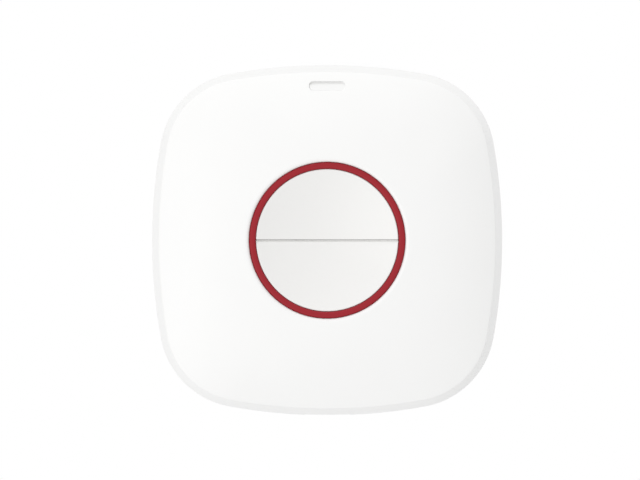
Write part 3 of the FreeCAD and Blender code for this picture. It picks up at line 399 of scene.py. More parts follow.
cover_white = plastic("cover_white", (0.945, 0.945, 0.938), 0.48)
rear_white = plastic("rear_white", (0.91, 0.91, 0.90), 0.6, grain_mm=0.3, depth_mm=0.006)
key_white = plastic("key_white", (0.885, 0.88, 0.867), 0.42, grain_mm=0.12)
ring_red = plastic("ring_red", (0.338, 0.0175, 0.0265), 0.45, grain_mm=0.1, depth_mm=0.001,
                   cloud=0.04, **{"Specular IOR Level": 0.2})
boot_silicone = plastic("boot_silicone", (0.45, 0.46, 0.47), 0.55, grain_mm=0.4, **{
    "Subsurface Weight": 0.3, "Subsurface Radius": (0.002, 0.002, 0.002)})
plastic("carrier_grey", (0.26, 0.27, 0.28), 0.5)
plastic("switch_black", (0.012, 0.012, 0.013), 0.45)
plastic("plunger_white", (0.70, 0.68, 0.61), 0.4)
plastic("chip_black", (0.014, 0.014, 0.015), 0.55, grain_mm=0.08)
plastic("holder_black", (0.016, 0.016, 0.018), 0.5)
print("made", len(finishes), "plastics and rubbers")

# %% [markdown]
# The indicator's window is a light guide of milky plastic: light goes in, spreads, and comes out
# pale. A white body colour with a thin clear coat looks like it when the light is off.

# %% Window and light
guide_milky = plastic("light_guide_clear", (0.865, 0.865, 0.858), 0.3, depth_mm=0.0005, **{
    "Coat Weight": 0.4, "Coat Roughness": 0.15,
    "Subsurface Weight": 0.2, "Subsurface Radius": (0.001, 0.001, 0.001)})
plastic("light_lens", (0.85, 0.80, 0.45), 0.2, depth_mm=0.0002, **{"Coat Weight": 0.5})
print("made", guide_milky.name)

# %% [markdown]
# The metals differ by colour and by their lines. Their lines come from rolling the strip, turning
# the screw or drawing the cell's can, and they spread the gloss across the lines.

# %% Metals
LINE_DEPTH_MM = 0.001


def metal(name, colour, roughness, line_mm=0.08, swing=0.08):
    """Bare or plated metal with fine lines."""
    tones = [c * (1 - swing) for c in colour], colour
    return effect_finish(name, lines, {"Line Size": line_mm}, tones, roughness, swing,
                         LINE_DEPTH_MM, {"Metallic": 1})


stamped_steel = metal("stamped_steel", (0.62, 0.62, 0.61), 0.3)
metal("screw_steel", (0.55, 0.56, 0.58), 0.35)
metal("cell_steel", (0.66, 0.65, 0.63), 0.28, line_mm=0.15)
metal("antenna_brass", (0.74, 0.55, 0.24), 0.3)
print("made", len(finishes), "finishes so far")

# %% [markdown]
# The circuit board is glass cloth under green solder mask. Copper tracks lie under the mask and
# make it a lighter green. Two sets of narrow bands, broken up by a noise, stand for them.

# %% Circuit board
TRACK_REGIONS = ("X", 0.56, 0.58), ("Z", 0.46, 0.44)  # across an axis, hidden and shown noise
TRACK_BLUR = 1.15


def board_finish(track_pitch_mm=1.2, track_share=0.3, region_mm=6, depth_mm=0.02):
    """Green solder mask over tracks that run along X and Z."""
    _, tree, shader = start_finish("board_green")
    place = node(tree, "ShaderNodeTexCoord").outputs["Object"]
    split = node(tree, "ShaderNodeSeparateXYZ", {0: place})
    regions = node(tree, "ShaderNodeTexNoise", {"Vector": place, "Scale": 1 / (region_mm * MM)})
    half_pitch = track_pitch_mm * MM / 2
    edge = track_share * half_pitch
    bands = []
    for axis, hidden, shown in TRACK_REGIONS:
        repeat = calculated(tree, "PINGPONG", split.outputs[axis], half_pitch)
        band = span(tree, repeat, 1, 0, edge, edge * TRACK_BLUR)
        region = span(tree, regions.outputs["Fac"], 0, 1, hidden, shown)
        bands.append(calculated(tree, "MULTIPLY", band, region))
    tracks = calculated(tree, "MAXIMUM", *bands)
    feed(tree, shader, {
        "Base Color": tint(tree, tracks, (0.008, 0.075, 0.035), (0.02, 0.16, 0.07)),
        "Normal": bump(tree, tracks, depth_mm), "Roughness": 0.3,
    })


board_finish()
print("made", len(finishes), "finishes in all")

# %% [markdown]
# Each CAD node takes the finish of its slot in the record. Pieces that this script models later
# take the same finishes.

# %% Finishes on the nodes
for entry in frame["record"]["subparts"]:
    mesh = nodes[entry["node"]].data
    mesh.materials.clear()
    mesh.materials.append(finishes[entry["material_slot"]])

# %% [markdown]
# ## How the smooth skins are made
#
# The housing's face, the keys and the rear plate are flat outlines with a height at each point. So
# each is drawn flat first, as a field of points between its outlines, joined by a Delaunay
# triangulation. A height is then worked out for each point. Holes with round edges are easy this
# way: the field stops where the round starts, and rows of points carry on down the edge.
#
# A Skin collects the points and faces of one piece. Rows run anticlockwise seen from the front, and
# each bridge goes outwards over the front, down the sides, in at the back and up again inside, so
# all faces point outwards.

# %% Skins
SAME_PLACE = 1e-8


class Skin:
    """The points and faces of one piece."""

    def __init__(self):
        self.points = []
        self.faces = []

    def row(self, flat, heights):
        """Adds points (x, z) with a height each, or one for all. Returns their numbers."""
        first = len(self.points)
        heights = np.broadcast_to(heights, len(flat))
        self.points += [(x, -height, z) for (x, z), height in zip(flat, heights)]
        return list(range(first, len(self.points)))

    def bridge(self, inner, outer):
        """Joins two closed rows with four-sided faces."""
        count = len(inner)
        for k in range(count):
            following = (k + 1) % count
            self.faces.append((inner[k], outer[k], outer[following], inner[following]))

    def carry_on(self, row, rows, outwards=True):
        """Adds rows of (outline, heights), each joined to the one before. Returns the last."""
        for flat, heights in rows:
            following = self.row(flat, heights)
            self.bridge(*((row, following) if outwards else (following, row)))
            row = following
        return row

    def column(self, rows):
        """Rows joined one below the other, and closed at both ends."""
        top, *others = rows
        top_row = self.row(*top)
        self.faces.append(tuple(top_row))
        self.faces.append(tuple(self.carry_on(top_row, others)[::-1]))

    def field(self, outer, holes, inside, height_of, to_front=True):
        """A surface between closed outlines. Returns the rows of its outlines, outer first."""
        loops = [outer] + list(holes)
        flat = np.concatenate(loops + [inside])
        edges = []
        start = 0
        for loop in loops:
            edges += [(start + k, start + (k + 1) % len(loop)) for k in range(len(loop))]
            start += len(loop)
        result = delaunay_2d_cdt([Vector(p) for p in flat], edges, [], 0, SAME_PLACE)
        placed = np.array([tuple(p) for p in result[0]])
        first = self.row(placed, height_of(placed))[0]
        triangles = np.array(result[2])
        middles = placed[triangles].mean(axis=1)
        kept = surrounds(outer, middles)
        for hole in holes:
            kept &= ~surrounds(hole, middles)
        for a, b, c in triangles[kept]:
            (ab_x, ab_z), (ac_x, ac_z) = placed[b] - placed[a], placed[c] - placed[a]
            anticlockwise = ab_x * ac_z > ab_z * ac_x
            corners = (a, b, c) if anticlockwise == to_front else (a, c, b)
            self.faces.append(tuple(first + int(index) for index in corners))
        number = {}
        for index, originals in enumerate(result[3]):
            for original in originals:
                number[original] = first + index
        rows = []
        start = 0
        for loop in loops:
            rows.append([number[start + k] for k in range(len(loop))])
            start += len(loop)
        return rows

    def build(self, name, material):
        """The piece as a mesh object in one finish."""
        mesh = bpy.data.meshes.new(name)
        mesh.from_pydata(self.points, [], self.faces)
        return smooth_piece(name, mesh, material)


def smooth_piece(name, mesh, material):
    """An object of this mesh in one finish, shaded smooth apart from its sharp edges."""
    mesh.materials.append(material)
    mesh.shade_smooth()
    mesh.set_sharp_from_angle(angle=SHARP)
    return put(name, mesh)


def surrounds(loop, points):
    """Whether a closed outline goes round each point."""
    inside = np.zeros(len(points), bool)
    for (x, z), (next_x, next_z) in zip(loop, np.roll(loop, -1, axis=0)):
        if z == next_z:
            continue
        crosses = (z > points[:, 1]) != (next_z > points[:, 1])
        inside ^= crosses & (points[:, 0] < x + (points[:, 1] - z) / (next_z - z) * (next_x - x))
    return inside


print("skins are ready")

# %% [markdown]
# ## Outlines
#
# The housing's outline is four shallow arcs that run into four tighter ones. On a centre line the
# middle of a corner arc lies where both arcs meet with one tangent. The round holes are circles,
# and the window is a rectangle with round corners. All are drawn with many short steps, because the
# silhouette of a product picture is judged at its edge.

# %% Outlines
STEPS_PER_SIDE = 44
STEPS_PER_CORNER = 36


def arc(radius, angles, x=0.0, z=0.0):
    """Points on a circle, at angles from its right."""
    return np.stack([x + radius * np.cos(angles), z + radius * np.sin(angles)], axis=1)


def bow_and_bend(half, side, corner):
    """How far the side arcs' and the corner arcs' centres lie out, and where the arcs meet."""
    reach = side - half
    between = side - corner
    place = (np.sqrt(8 * between ** 2 - 4 * reach ** 2) - 2 * reach) / 4
    return reach, place, np.arctan2(place, place + reach)


def bowed_square(half, side, corner):
    """The outline of the housing as points (x, z)."""
    reach, place, meet = bow_and_bend(half, side, corner)
    along_side = np.linspace(-meet, meet, STEPS_PER_SIDE, endpoint=False)
    round_corner = np.linspace(meet, math.pi / 2 - meet, STEPS_PER_CORNER, endpoint=False)
    quarter = np.concatenate([
        arc(side, along_side, -reach), arc(corner, round_corner, place, place)])
    points = []
    for turn in range(4):
        angle = turn * math.pi / 2
        spin = np.array([[math.cos(angle), -math.sin(angle)], [math.sin(angle), math.cos(angle)]])
        points += [spin @ p for p in quarter]
    return np.array(points)


def inset_outline(inset):
    """The housing's outline, drawn in by a distance all round."""
    return bowed_square(half_width - inset, side_radius - inset, corner_radius - inset)


def circle(radius, count, x=0.0, z=0.0):
    """A circle as points."""
    return arc(radius, np.arange(count) * 2 * math.pi / count, x, z)


def rounded_box(width, height, corner, x=0.0, z=0.0, steps=12):
    """A rectangle with round corners."""
    points = []
    for turn, (right, up) in enumerate(((1, 1), (-1, 1), (-1, -1), (1, -1))):
        angles = (turn + np.arange(steps + 1) / steps) * math.pi / 2
        points.append(arc(corner, angles, x + right * (width / 2 - corner),
                          z + up * (height / 2 - corner)))
    return np.concatenate(points)


print("the housing's outline has", len(inset_outline(0)), "points")

# %% [markdown]
# ## The dome's height
#
# From the crease to the crown the outline changes from the bowed square to nearly a circle round
# the keys. A share of 0 is the crease and 1 the crown. For any point, halving steps find the share
# whose outline runs through it, and the share gives the height: steep at the crease, almost flat
# at the crown.

# %% Dome
HALVING_STEPS = 26


def share_outline(share, inset=0.0):
    """Half width, side radius and corner radius of the dome's outline at a share."""
    crease = crease_half - inset
    half = crease + (crown_half - crease) * share
    side = half + (side_radius - half_width) * (1 - share) ** 2 + crown_side_extra * share
    crease_corner = corner_radius - flare - inset
    corner = crease_corner * (1 - share) + (crown_half - crown_side_extra) * share
    return half, side, corner


def share_at(flat, inset=0.0):
    """The share of the way up the dome at points (x, z)."""
    far = np.abs(flat).max(axis=1)
    near = np.abs(flat).min(axis=1)
    low = np.zeros(len(flat))
    high = np.ones(len(flat))
    for _ in range(HALVING_STEPS):
        share = (low + high) / 2
        half, side, corner = share_outline(share, inset)
        reach, place, meet = bow_and_bend(half, side, corner)
        on_side = np.arctan2(near, far + reach) <= meet
        outside = np.where(on_side, np.hypot(far + reach, near) - side,
                           np.hypot(far - place, near - place) - corner) > 0
        high = np.where(outside, share, high)
        low = np.where(outside, low, share)
    return (low + high) / 2


def dome_fall(share):
    """How far the dome's outside lies below the crown at a share."""
    left = 1 - share
    return dome_rise * (dome_cone_share * left + (1 - dome_cone_share) * left ** dome_power)


def dome_height(flat):
    """Height of the dome's outside at points (x, z)."""
    return crown_height - dome_fall(share_at(flat))


def dome_inside(flat):
    """Height of the dome's inside at points (x, z)."""
    share = share_at(flat, wall)
    thickness = wall * (crease_wall_share + (1 - crease_wall_share) * share)
    return crown_height - dome_fall(share) - thickness


def height_at(height_of, x, z):
    """A surface's height at one point."""
    return height_of(np.array([[x, z]]))[0]


print("the dome is %.2f mm high at its ring" % (height_at(dome_height, 0, eye_radius) / MM))

# %% [markdown]
# ## Front cover
#
# The real cover is one moulding with a wall of 2 mm. Its face ends in a crease with a small round,
# and below it the side flares out to the rim. The eye and the window have small rounds too, where
# the light catches. The skin starts at the face, goes down the side, in under the rim, up inside
# and back along the eye's collar to the face, so it is closed like the real wall.

# %% Front cover
crease_round = 0.35 * MM
rim_round = 0.3 * MM
eye_round = 0.8 * MM
slot_round = 0.05 * MM
slot_width, slot_height, slot_corner = 7.2 * MM, 1.9 * MM, 0.85 * MM
slot_z = half_width - 4.3 * MM
slot_draft = 0.3 * MM
slot_clear = 0.5 * MM
EYE_STEPS = 240
ROUND_STEPS = 6
FACE_ROWS, INSIDE_ROWS = 34, 8
face_shares = 1 - np.linspace(0.078, 0.972, FACE_ROWS)


def quarter_round(radius, steps=ROUND_STEPS):
    """How far in and how far down each step of a rounded edge lies, from its flat start."""
    angles = np.linspace(0, math.pi / 2, steps + 1)
    return list(zip(radius * (1 - np.sin(angles)), radius * (1 - np.cos(angles))))


def eye_outline(grow):
    """The eye's outline, drawn out by a distance."""
    return circle(eye_edge + grow, EYE_STEPS)


def slot_outline(grow, shift=0.0):
    """The slot's outline, drawn out by a distance, and shifted right and down."""
    return rounded_box(slot_width + 2 * grow, slot_height + 2 * grow, slot_corner + grow,
                       x=shift, z=slot_z - shift)


def dome_points(shares, inset):
    """Points in rows along the dome, apart from those near the window."""
    flat = np.concatenate([bowed_square(*share_outline(share, inset)) for share in shares])
    across = np.abs(flat[:, 0]) < slot_width / 2 + slot_clear
    upright = np.abs(flat[:, 1] - slot_z) < slot_height / 2 + slot_clear
    return flat[~(across & upright)]


skirt_lean = math.atan2(flare, crease_height - rim_height)
dome_slope = math.atan2(dome_rise * (dome_cone_share + (1 - dome_cone_share) * dome_power),
                        crease_half - crown_half)
turn_at_crease = math.pi / 2 - skirt_lean - dome_slope
crease_set_back = crease_round * math.tan(turn_at_crease / 2)

cover = Skin()
face_inset = flare + crease_set_back * math.cos(dome_slope)
face_edge = inset_outline(face_inset)
face_rows = cover.field(face_edge, [eye_outline(eye_round), slot_outline(slot_round)],
                        dome_points(face_shares, 0.0), dome_height)
print("face", len(cover.faces), "triangles")

# %% [markdown]
# The rows now carry on from the three edges of the face: down the eye, down the window, and over
# the crease. Each row keeps as many points as the edge that it starts from.

# %% Front cover, edges
ring_flange_top = ring_bottom + 1 * MM


def rounded_down(outline, radius):
    """Rows down a rounded edge of the face, whose outline is drawn out by a distance."""
    flats = [(outline(grow), drop) for grow, drop in quarter_round(radius)[1:]]
    return [(flat, dome_height(flat) - drop) for flat, drop in flats]


def crease_rows():
    """Rows over the crease, from the dome's slope to the side's."""
    heights = dome_height(face_edge)
    rows = []
    for step in range(1, ROUND_STEPS + 1):
        done = step / ROUND_STEPS
        slope = dome_slope + turn_at_crease * done
        out = crease_round * (math.sin(slope) - math.sin(dome_slope))
        down = crease_round * (math.cos(dome_slope) - math.cos(slope))
        height = heights * (1 - done) + heights.mean() * done - down
        rows.append((inset_outline(face_inset - out), height))
    return rows


collar_edge = cover.carry_on(face_rows[1], rounded_down(eye_outline, eye_round) + [
    (eye_outline(0), ring_flange_top), (circle(collar_radius, EYE_STEPS), ring_flange_top),
], outwards=False)
slot_row = cover.carry_on(face_rows[2], rounded_down(slot_outline, slot_round), outwards=False)
over_crease = crease_rows()
crease_row = cover.carry_on(face_rows[0], over_crease)
print("with its edges", len(cover.faces), "faces")

# %% [markdown]
# A notch in the bottom rim lets a tool pry the cover off. In the rows that cross it, its points are
# lifted to its top, and two pairs of points stand close together to make its upright ends.

# %% Front cover, side and inside
notch_half, notch_depth = 4.5 * MM, 1 * MM
notch_top = rim_height + notch_depth
skirt_slope = flare / (crease_height - rim_height)
SKIRT_STEPS = 6
rim_outline = inset_outline(0)
in_notch = np.flatnonzero((np.abs(rim_outline[:, 0]) < notch_half) & (rim_outline[:, 1] < 0))
notch_span = slice(in_notch[0] - 1, in_notch[-1] + 2)
notch_x = np.concatenate([[-notch_half - TINY],
                          np.linspace(-notch_half, notch_half, len(in_notch)),
                          [notch_half + TINY]])


def bottom_side(x, inset):
    """Z of the housing's bottom side at x, drawn in by a distance."""
    return side_radius - half_width - np.sqrt((side_radius - inset) ** 2 - x ** 2)


def side_row(inset, height):
    """A row round the side, lifted over the notch."""
    flat = inset_outline(inset)
    heights = np.full(len(flat), height)
    if height < crease_height / 2:
        flat[notch_span] = np.stack([notch_x, bottom_side(notch_x, inset)], axis=1)
    if height < notch_top:
        drawn = max(inset, skirt_slope * notch_depth)
        flat[in_notch, 1] = bottom_side(notch_x[1:-1], drawn)
        heights[in_notch] = notch_top
    return flat, heights


crease_foot = over_crease[-1][1].mean()
side_levels = [(skirt_slope * (height - rim_height), height)
               for height in np.linspace(crease_foot, rim_height + rim_round, SKIRT_STEPS)[1:-1]]
side_levels += [(away + skirt_slope * lift, rim_height + lift)
                for lift, away in quarter_round(rim_round)]
side_levels += [(wall - rim_round, rim_height), (wall, rim_height + rim_round)]
wall_row = cover.carry_on(crease_row, [side_row(inset, height) for inset, height in side_levels])

inner_shares = np.linspace(0.1, 0.8, INSIDE_ROWS)
inside_rows = cover.field(
    inset_outline(flare + wall), [circle(collar_radius, EYE_STEPS), slot_outline(-slot_draft)],
    dome_points(inner_shares, wall), dome_inside, to_front=False)
cover.bridge(wall_row, inside_rows[0])
cover.bridge(inside_rows[1], collar_edge)
cover.bridge(inside_rows[2], slot_row)
front_cover = cover.build("front_cover_skin", cover_white)
print("front cover", len(cover.points), "points and", len(cover.faces), "faces")

# %% [markdown]
# ## Tools for what repeats
#
# The screw bosses, the keys' ribs and the red ring are all bands: a small section swept round a
# circle. Bosses, ledges and hooks also come four times round the middle. Geometry Nodes do both. A
# tree runs as a modifier on a seed object, its inputs are set by their identifiers, and its result
# becomes a plain mesh with its faces turned outwards.

# %% Geometry Nodes helpers
def geometry_tree(name, inputs):
    """A geometry tree with named inputs and a material."""
    geometry, material = ("Geometry", "Geometry"), ("Material", "Material")
    return new_tree("GeometryNodeTree", name, [geometry, *inputs, material], [geometry])


def vector(tree, **parts):
    """A vector whose named parts come from sockets or values."""
    return node(tree, "ShaderNodeCombineXYZ", parts).outputs[0]


def swept(tree, path, section, place, capped=False):
    """A section swept along a path, then turned to face the viewer and moved to its place."""
    sweep = node(tree, "GeometryNodeCurveToMesh", {
        "Curve": path.outputs[0], "Profile Curve": section.outputs[0], "Fill Caps": capped})
    return node(tree, "GeometryNodeTransform", {
        "Geometry": sweep.outputs[0], "Rotation": (math.pi / 2, 0, 0), "Translation": place})


def finish_tree(tree, last, value, result):
    """Ends a tree in real geometry with its material."""
    real = node(tree, "GeometryNodeRealizeInstances", {0: last.outputs[0]})
    coat = node(tree, "GeometryNodeSetMaterial",
                {"Geometry": real.outputs[0], "Material": value["Material"]})
    tree.links.new(coat.outputs[0], result[0])
    return tree


def grown(name, tree, values, mesh=None):
    """Runs a tree on a mesh and gives its result as a plain mesh object."""
    seed = put("seed", mesh or bpy.data.meshes.new("seed"))
    modifier = seed.modifiers.new("nodes", "NODES")
    modifier.node_group = tree
    for item in tree.interface.items_tree:
        if item.in_out == "INPUT" and item.name in values:
            modifier[item.identifier] = values[item.name]
    evaluated = seed.evaluated_get(bpy.context.evaluated_depsgraph_get())
    made = bpy.data.meshes.new_from_object(evaluated)
    bpy.data.objects.remove(seed)
    return cleaned(name, made)


def cleaned(name, mesh):
    """An object of this mesh, its points merged and its faces turned outwards."""
    shape = bmesh.new()
    shape.from_mesh(mesh)
    bmesh.ops.remove_doubles(shape, verts=shape.verts, dist=MERGE)
    bmesh.ops.recalc_face_normals(shape, faces=shape.faces)
    shape.to_mesh(mesh)
    shape.free()
    mesh.name = name
    return put(name, mesh)


def joined(name, pieces, material):
    """One object of several pieces in one finish."""
    shape = bmesh.new()
    for piece in pieces:
        shape.from_mesh(piece.data)
        bpy.data.objects.remove(piece)
    bmesh.ops.remove_doubles(shape, verts=shape.verts, dist=MERGE)
    mesh = bpy.data.meshes.new(name)
    shape.to_mesh(mesh)
    shape.free()
    return smooth_piece(name, mesh, material)


print("helpers for grown pieces are ready")

# %% [markdown]
# The first tree sweeps a rectangle with round corners round a circle. The second sets copies of a
# piece evenly round the middle of the button. Both end in Realize Instances and Set Material, so
# what comes out is real geometry in its finish.

# %% Trees
BAND_ROUND_STEPS = 5


def band_tree():
    """A rounded rectangle swept round a circle that faces the viewer."""
    tree, value, result = geometry_tree("round_band", [
        ("Inner Radius", "Float"), ("Outer Radius", "Float"), ("Bottom", "Float"), ("Top", "Float"),
        ("Edge", "Float"), ("Segments", "Int"), ("Centre X", "Float"), ("Centre Z", "Float"),
    ])
    radii = value["Outer Radius"], value["Inner Radius"]
    levels = value["Top"], value["Bottom"]
    section = node(tree, "GeometryNodeCurvePrimitiveQuadrilateral", {
        "Width": calculated(tree, "SUBTRACT", *radii),
        "Height": calculated(tree, "SUBTRACT", *levels)})
    soft = node(tree, "GeometryNodeFilletCurve", {
        "Curve": section.outputs[0], "Count": BAND_ROUND_STEPS, "Radius": value["Edge"],
    }, mode="POLY")
    path = node(tree, "GeometryNodeCurvePrimitiveCircle", {
        "Resolution": value["Segments"],
        "Radius": calculated(tree, "DIVIDE", calculated(tree, "ADD", *radii), 2)})
    middle = calculated(tree, "DIVIDE", calculated(tree, "ADD", *levels), -2)
    place = vector(tree, X=value["Centre X"], Y=middle, Z=value["Centre Z"])
    return finish_tree(tree, swept(tree, path, soft, place), value, result)


def copies_tree():
    """Copies of a piece, turned evenly round the middle."""
    tree, value, result = geometry_tree("turned_copies", [("Copies", "Int")])
    spots = node(tree, "GeometryNodePoints", {"Count": value["Copies"]})
    step = calculated(tree, "DIVIDE", 2 * math.pi, value["Copies"])
    index = node(tree, "GeometryNodeInputIndex").outputs[0]
    copies = node(tree, "GeometryNodeInstanceOnPoints", {
        "Points": spots.outputs[0], "Instance": value["Geometry"],
        "Rotation": vector(tree, Y=calculated(tree, "MULTIPLY", index, step))})
    return finish_tree(tree, copies, value, result)


round_band, turned_copies = band_tree(), copies_tree()


def band(name, material, inner, outer, bottom, top, edge, segments=64, x=0.0, z=0.0):
    """A round band between two radii and two heights above the wall."""
    return grown(name, round_band, {
        "Inner Radius": inner, "Outer Radius": outer, "Bottom": bottom, "Top": top, "Edge": edge,
        "Segments": segments, "Centre X": x, "Centre Z": z, "Material": material,
    })


def four_of(piece, material):
    """The piece four times round the middle."""
    copies = grown(piece.name + "_four", turned_copies, {"Copies": 4, "Material": material},
                   piece.data)
    bpy.data.objects.remove(piece)
    return copies


print("made the trees", round_band.name, "and", turned_copies.name)

# %% [markdown]
# ## Bosses and ledges of the cover
#
# Inside, the real cover has eight bosses for small screws and four ledges that the rear plate's
# hooks snap behind. They are moulded with the cover, so they belong to its piece. A boss is a band
# round its screw hole, and a ledge is a small block, drawn as a section and pulled straight.

# %% Front cover, inside
def soft_block(name, section, width, edge):
    """A section of (distance from the middle, height) pulled along Z, its edges softened."""
    shape = bmesh.new()
    ends = [[shape.verts.new((x, -height, end)) for x, height in section]
            for end in (-width / 2, width / 2)]
    shape.faces.new(ends[0])
    shape.faces.new(ends[1][::-1])
    for k in range(len(section)):
        following = (k + 1) % len(section)
        shape.faces.new((ends[0][k], ends[1][k], ends[1][following], ends[0][following]))
    bmesh.ops.recalc_face_normals(shape, faces=shape.faces)
    bmesh.ops.bevel(shape, geom=shape.edges, offset=edge, segments=2, affect="EDGES", profile=0.5)
    mesh = bpy.data.meshes.new(name)
    shape.to_mesh(mesh)
    shape.free()
    return cleaned(name, mesh)


boss_radius, boss_bore = 2.5 * MM, 1.02 * MM
ear_place, ear_height = 22 * MM, 12.6 * MM
board_boss_place, board_front = half_width - 11.5 * MM, 9.4 * MM
into_wall = 0.6 * MM
inside_edge = 0.12 * MM
BOSS_STEPS = 48
hook_width = 9 * MM
rib_half = half_width - wall - 1.7 * MM
ledge_inner, ledge_outer = rib_half + 0.15 * MM, half_width - wall + 0.4 * MM
ledge_bottom, ledge_thickness = 3.4 * MM, 1 * MM
ledge_top = ledge_bottom + ledge_thickness
ledge_section = [(ledge_inner, ledge_bottom), (ledge_outer, ledge_bottom),
                 (ledge_outer, ledge_top), (ledge_inner, ledge_top)]

cover_pieces = [front_cover]
for label, x, z, bottom in (("ear_boss", ear_place, 0.0, ear_height),
                            ("board_boss", board_boss_place, board_boss_place, board_front)):
    top = height_at(dome_inside, x, z) + into_wall
    boss = band(label, cover_white, boss_bore, boss_radius, bottom, top, inside_edge, BOSS_STEPS,
                x, z)
    cover_pieces.append(four_of(boss, cover_white))
ledge = soft_block("ledge", ledge_section, hook_width, inside_edge)
cover_pieces.append(four_of(ledge, cover_white))
front_cover = joined("front_cover_moulding", cover_pieces, cover_white)
print("front cover", len(front_cover.data.polygons), "faces")

# %% [markdown]
# ## Red ring
#
# The trim ring is one turned section: a narrow band with round edges that stands up round the keys,
# and a thin flange at its foot. The flange is held between the cover's collar and the carrier, so
# only the band's face is seen.

# %% Red ring
ring_edge, flange_edge = 0.45 * MM, 0.1 * MM
flange_outer = 17.25 * MM
flange_overlap = 0.4 * MM
RING_STEPS = 288
trim = band("trim", ring_red, ring_inner, trim_outer, ring_bottom, ring_top, ring_edge, RING_STEPS)
flange = band("flange", ring_red, ring_outer - flange_overlap, flange_outer, ring_bottom + TINY,
              ring_flange_top - TINY, flange_edge, RING_STEPS)
red_ring = joined("red_trim_ring", [trim, flange], ring_red)
print("red ring", len(red_ring.data.polygons), "faces")

# %% [markdown]
# ## Half keys
#
# The two keys are halves of one round pad. Together their faces form a shallow dish. Each half is
# a D: most of a half circle, and a straight edge at the narrow split. The D is drawn with a little
# round in its two corners. Drawing it in from all sides gives the rows for the soft edges.

# %% Half key, outline and dish
dish_low, dish_radius = 14.5 * MM, 14 * MM
dish_depth = key_rim - dish_low
dish_sphere = (dish_radius ** 2 + dish_depth ** 2) / (2 * dish_depth)
key_skin, key_wall = 1.3 * MM, 1.2 * MM
key_round, key_corner, least_corner = 0.2 * MM, 0.12 * MM, 0.05 * MM
dish_soft = 0.1 * MM
lip_depth = 0.6 * MM
ARC_STEPS, CORNER_STEPS, CHORD_STEPS = 132, 6, 64


def half_round(radius, edge, corner):
    """The D of a half key as points (x, z): the chord at z = edge, then the arc."""
    corner_z = edge + corner
    corner_x = math.sqrt((radius - corner) ** 2 - corner_z ** 2)
    start = math.atan2(corner_z, corner_x)
    right = arc(corner, np.linspace(-math.pi / 2, start, CORNER_STEPS + 1), corner_x, corner_z)
    left = right[::-1] * (-1, 1)
    chord_x = np.linspace(-corner_x, corner_x, CHORD_STEPS + 1)[1:-1]
    chord = np.stack([chord_x, np.full(len(chord_x), edge)], axis=1)
    over = arc(radius, np.linspace(start, math.pi - start, ARC_STEPS + 1)[1:-1])
    return np.concatenate([right, over, left, chord])


def at_chord():
    """How much each point of the D belongs to its chord, from 0 on the arc to 1."""
    turn = np.linspace(1, 0, CORNER_STEPS + 1)
    return np.concatenate([turn, np.zeros(ARC_STEPS - 1), turn[::-1], np.ones(CHORD_STEPS - 1)])


def drawn_in(inset, chord_share=1.0):
    """The key's own D, drawn in by a distance, and by a share of it at the chord."""
    edge = key_gap / 2 + inset * chord_share
    return half_round(cap_radius - inset, edge, max(key_corner - inset, least_corner))


def dish_height(flat):
    """Height of the dish, with a soft change to the flat land at its rim."""
    out = np.hypot(flat[:, 0], flat[:, 1])
    dish = dish_low + dish_sphere - np.sqrt(dish_sphere ** 2 - out ** 2)
    near = np.maximum(dish_soft - np.abs(dish - key_rim), 0) / dish_soft
    return np.minimum(dish, key_rim) - dish_soft * near ** 2 / 4


def under_height(flat):
    """Height of the key's underside."""
    out = np.hypot(flat[:, 0], flat[:, 1])
    sphere = dish_sphere + key_skin
    return dish_low + dish_sphere - np.sqrt(sphere ** 2 - out ** 2)


print("the dish is %.1f mm deep" % (dish_depth / MM))

# %% [markdown]
# The key's skin starts at the dish, turns over its soft edge, goes down the side and out to the
# stop flange, and comes back inside. Below it, two posts guide the key, a foot pushes the switch
# and a rib presses the rubber boot. They are pegs and a band, and belong to the key's piece. At the
# split the upper key has a crisp edge. The lower one is rounder, and its lip closes the gap below.

# %% Half key, skin
key_flange_radius = 15.05 * MM
key_bottom, key_flange_top = ring_bottom - 1.1 * MM, ring_bottom - 0.1 * MM
hollow_radius = key_radius - key_wall
switch_place = 7.2 * MM
post_x, post_z, post_radius, post_bottom = 9.3 * MM, 4.2 * MM, 1.2 * MM, 10.5 * MM
foot_radius, foot_bottom = 1.55 * MM, 12.9 * MM
peg_edge, rib_edge = 0.15 * MM, 0.1 * MM
boot_rib_inner, boot_rib_outer, boot_rib_bottom = 4.5 * MM, 5.2 * MM, 13 * MM
lip_below = 0.08 * MM
FINE_INSETS_MM = 0.08, 0.17, 0.27, 0.38, 0.5, 0.7, 1.0
COARSE_INSETS_MM = np.arange(1.8, 6.6, 0.6)
PEG_STEPS = 32
ROUND_MIDDLE = 0.3  # how far in and down a round's middle lies, as a share of the round


def peg(skin, x, z, radius, bottom, top, edge):
    """A round peg with a soft lower end."""
    middle = edge * ROUND_MIDDLE
    skin.column([
        (circle(radius - inset, PEG_STEPS, x, z), height) for inset, height in (
            (0, top), (0, bottom + edge), (middle, bottom + middle), (edge, bottom))
    ])


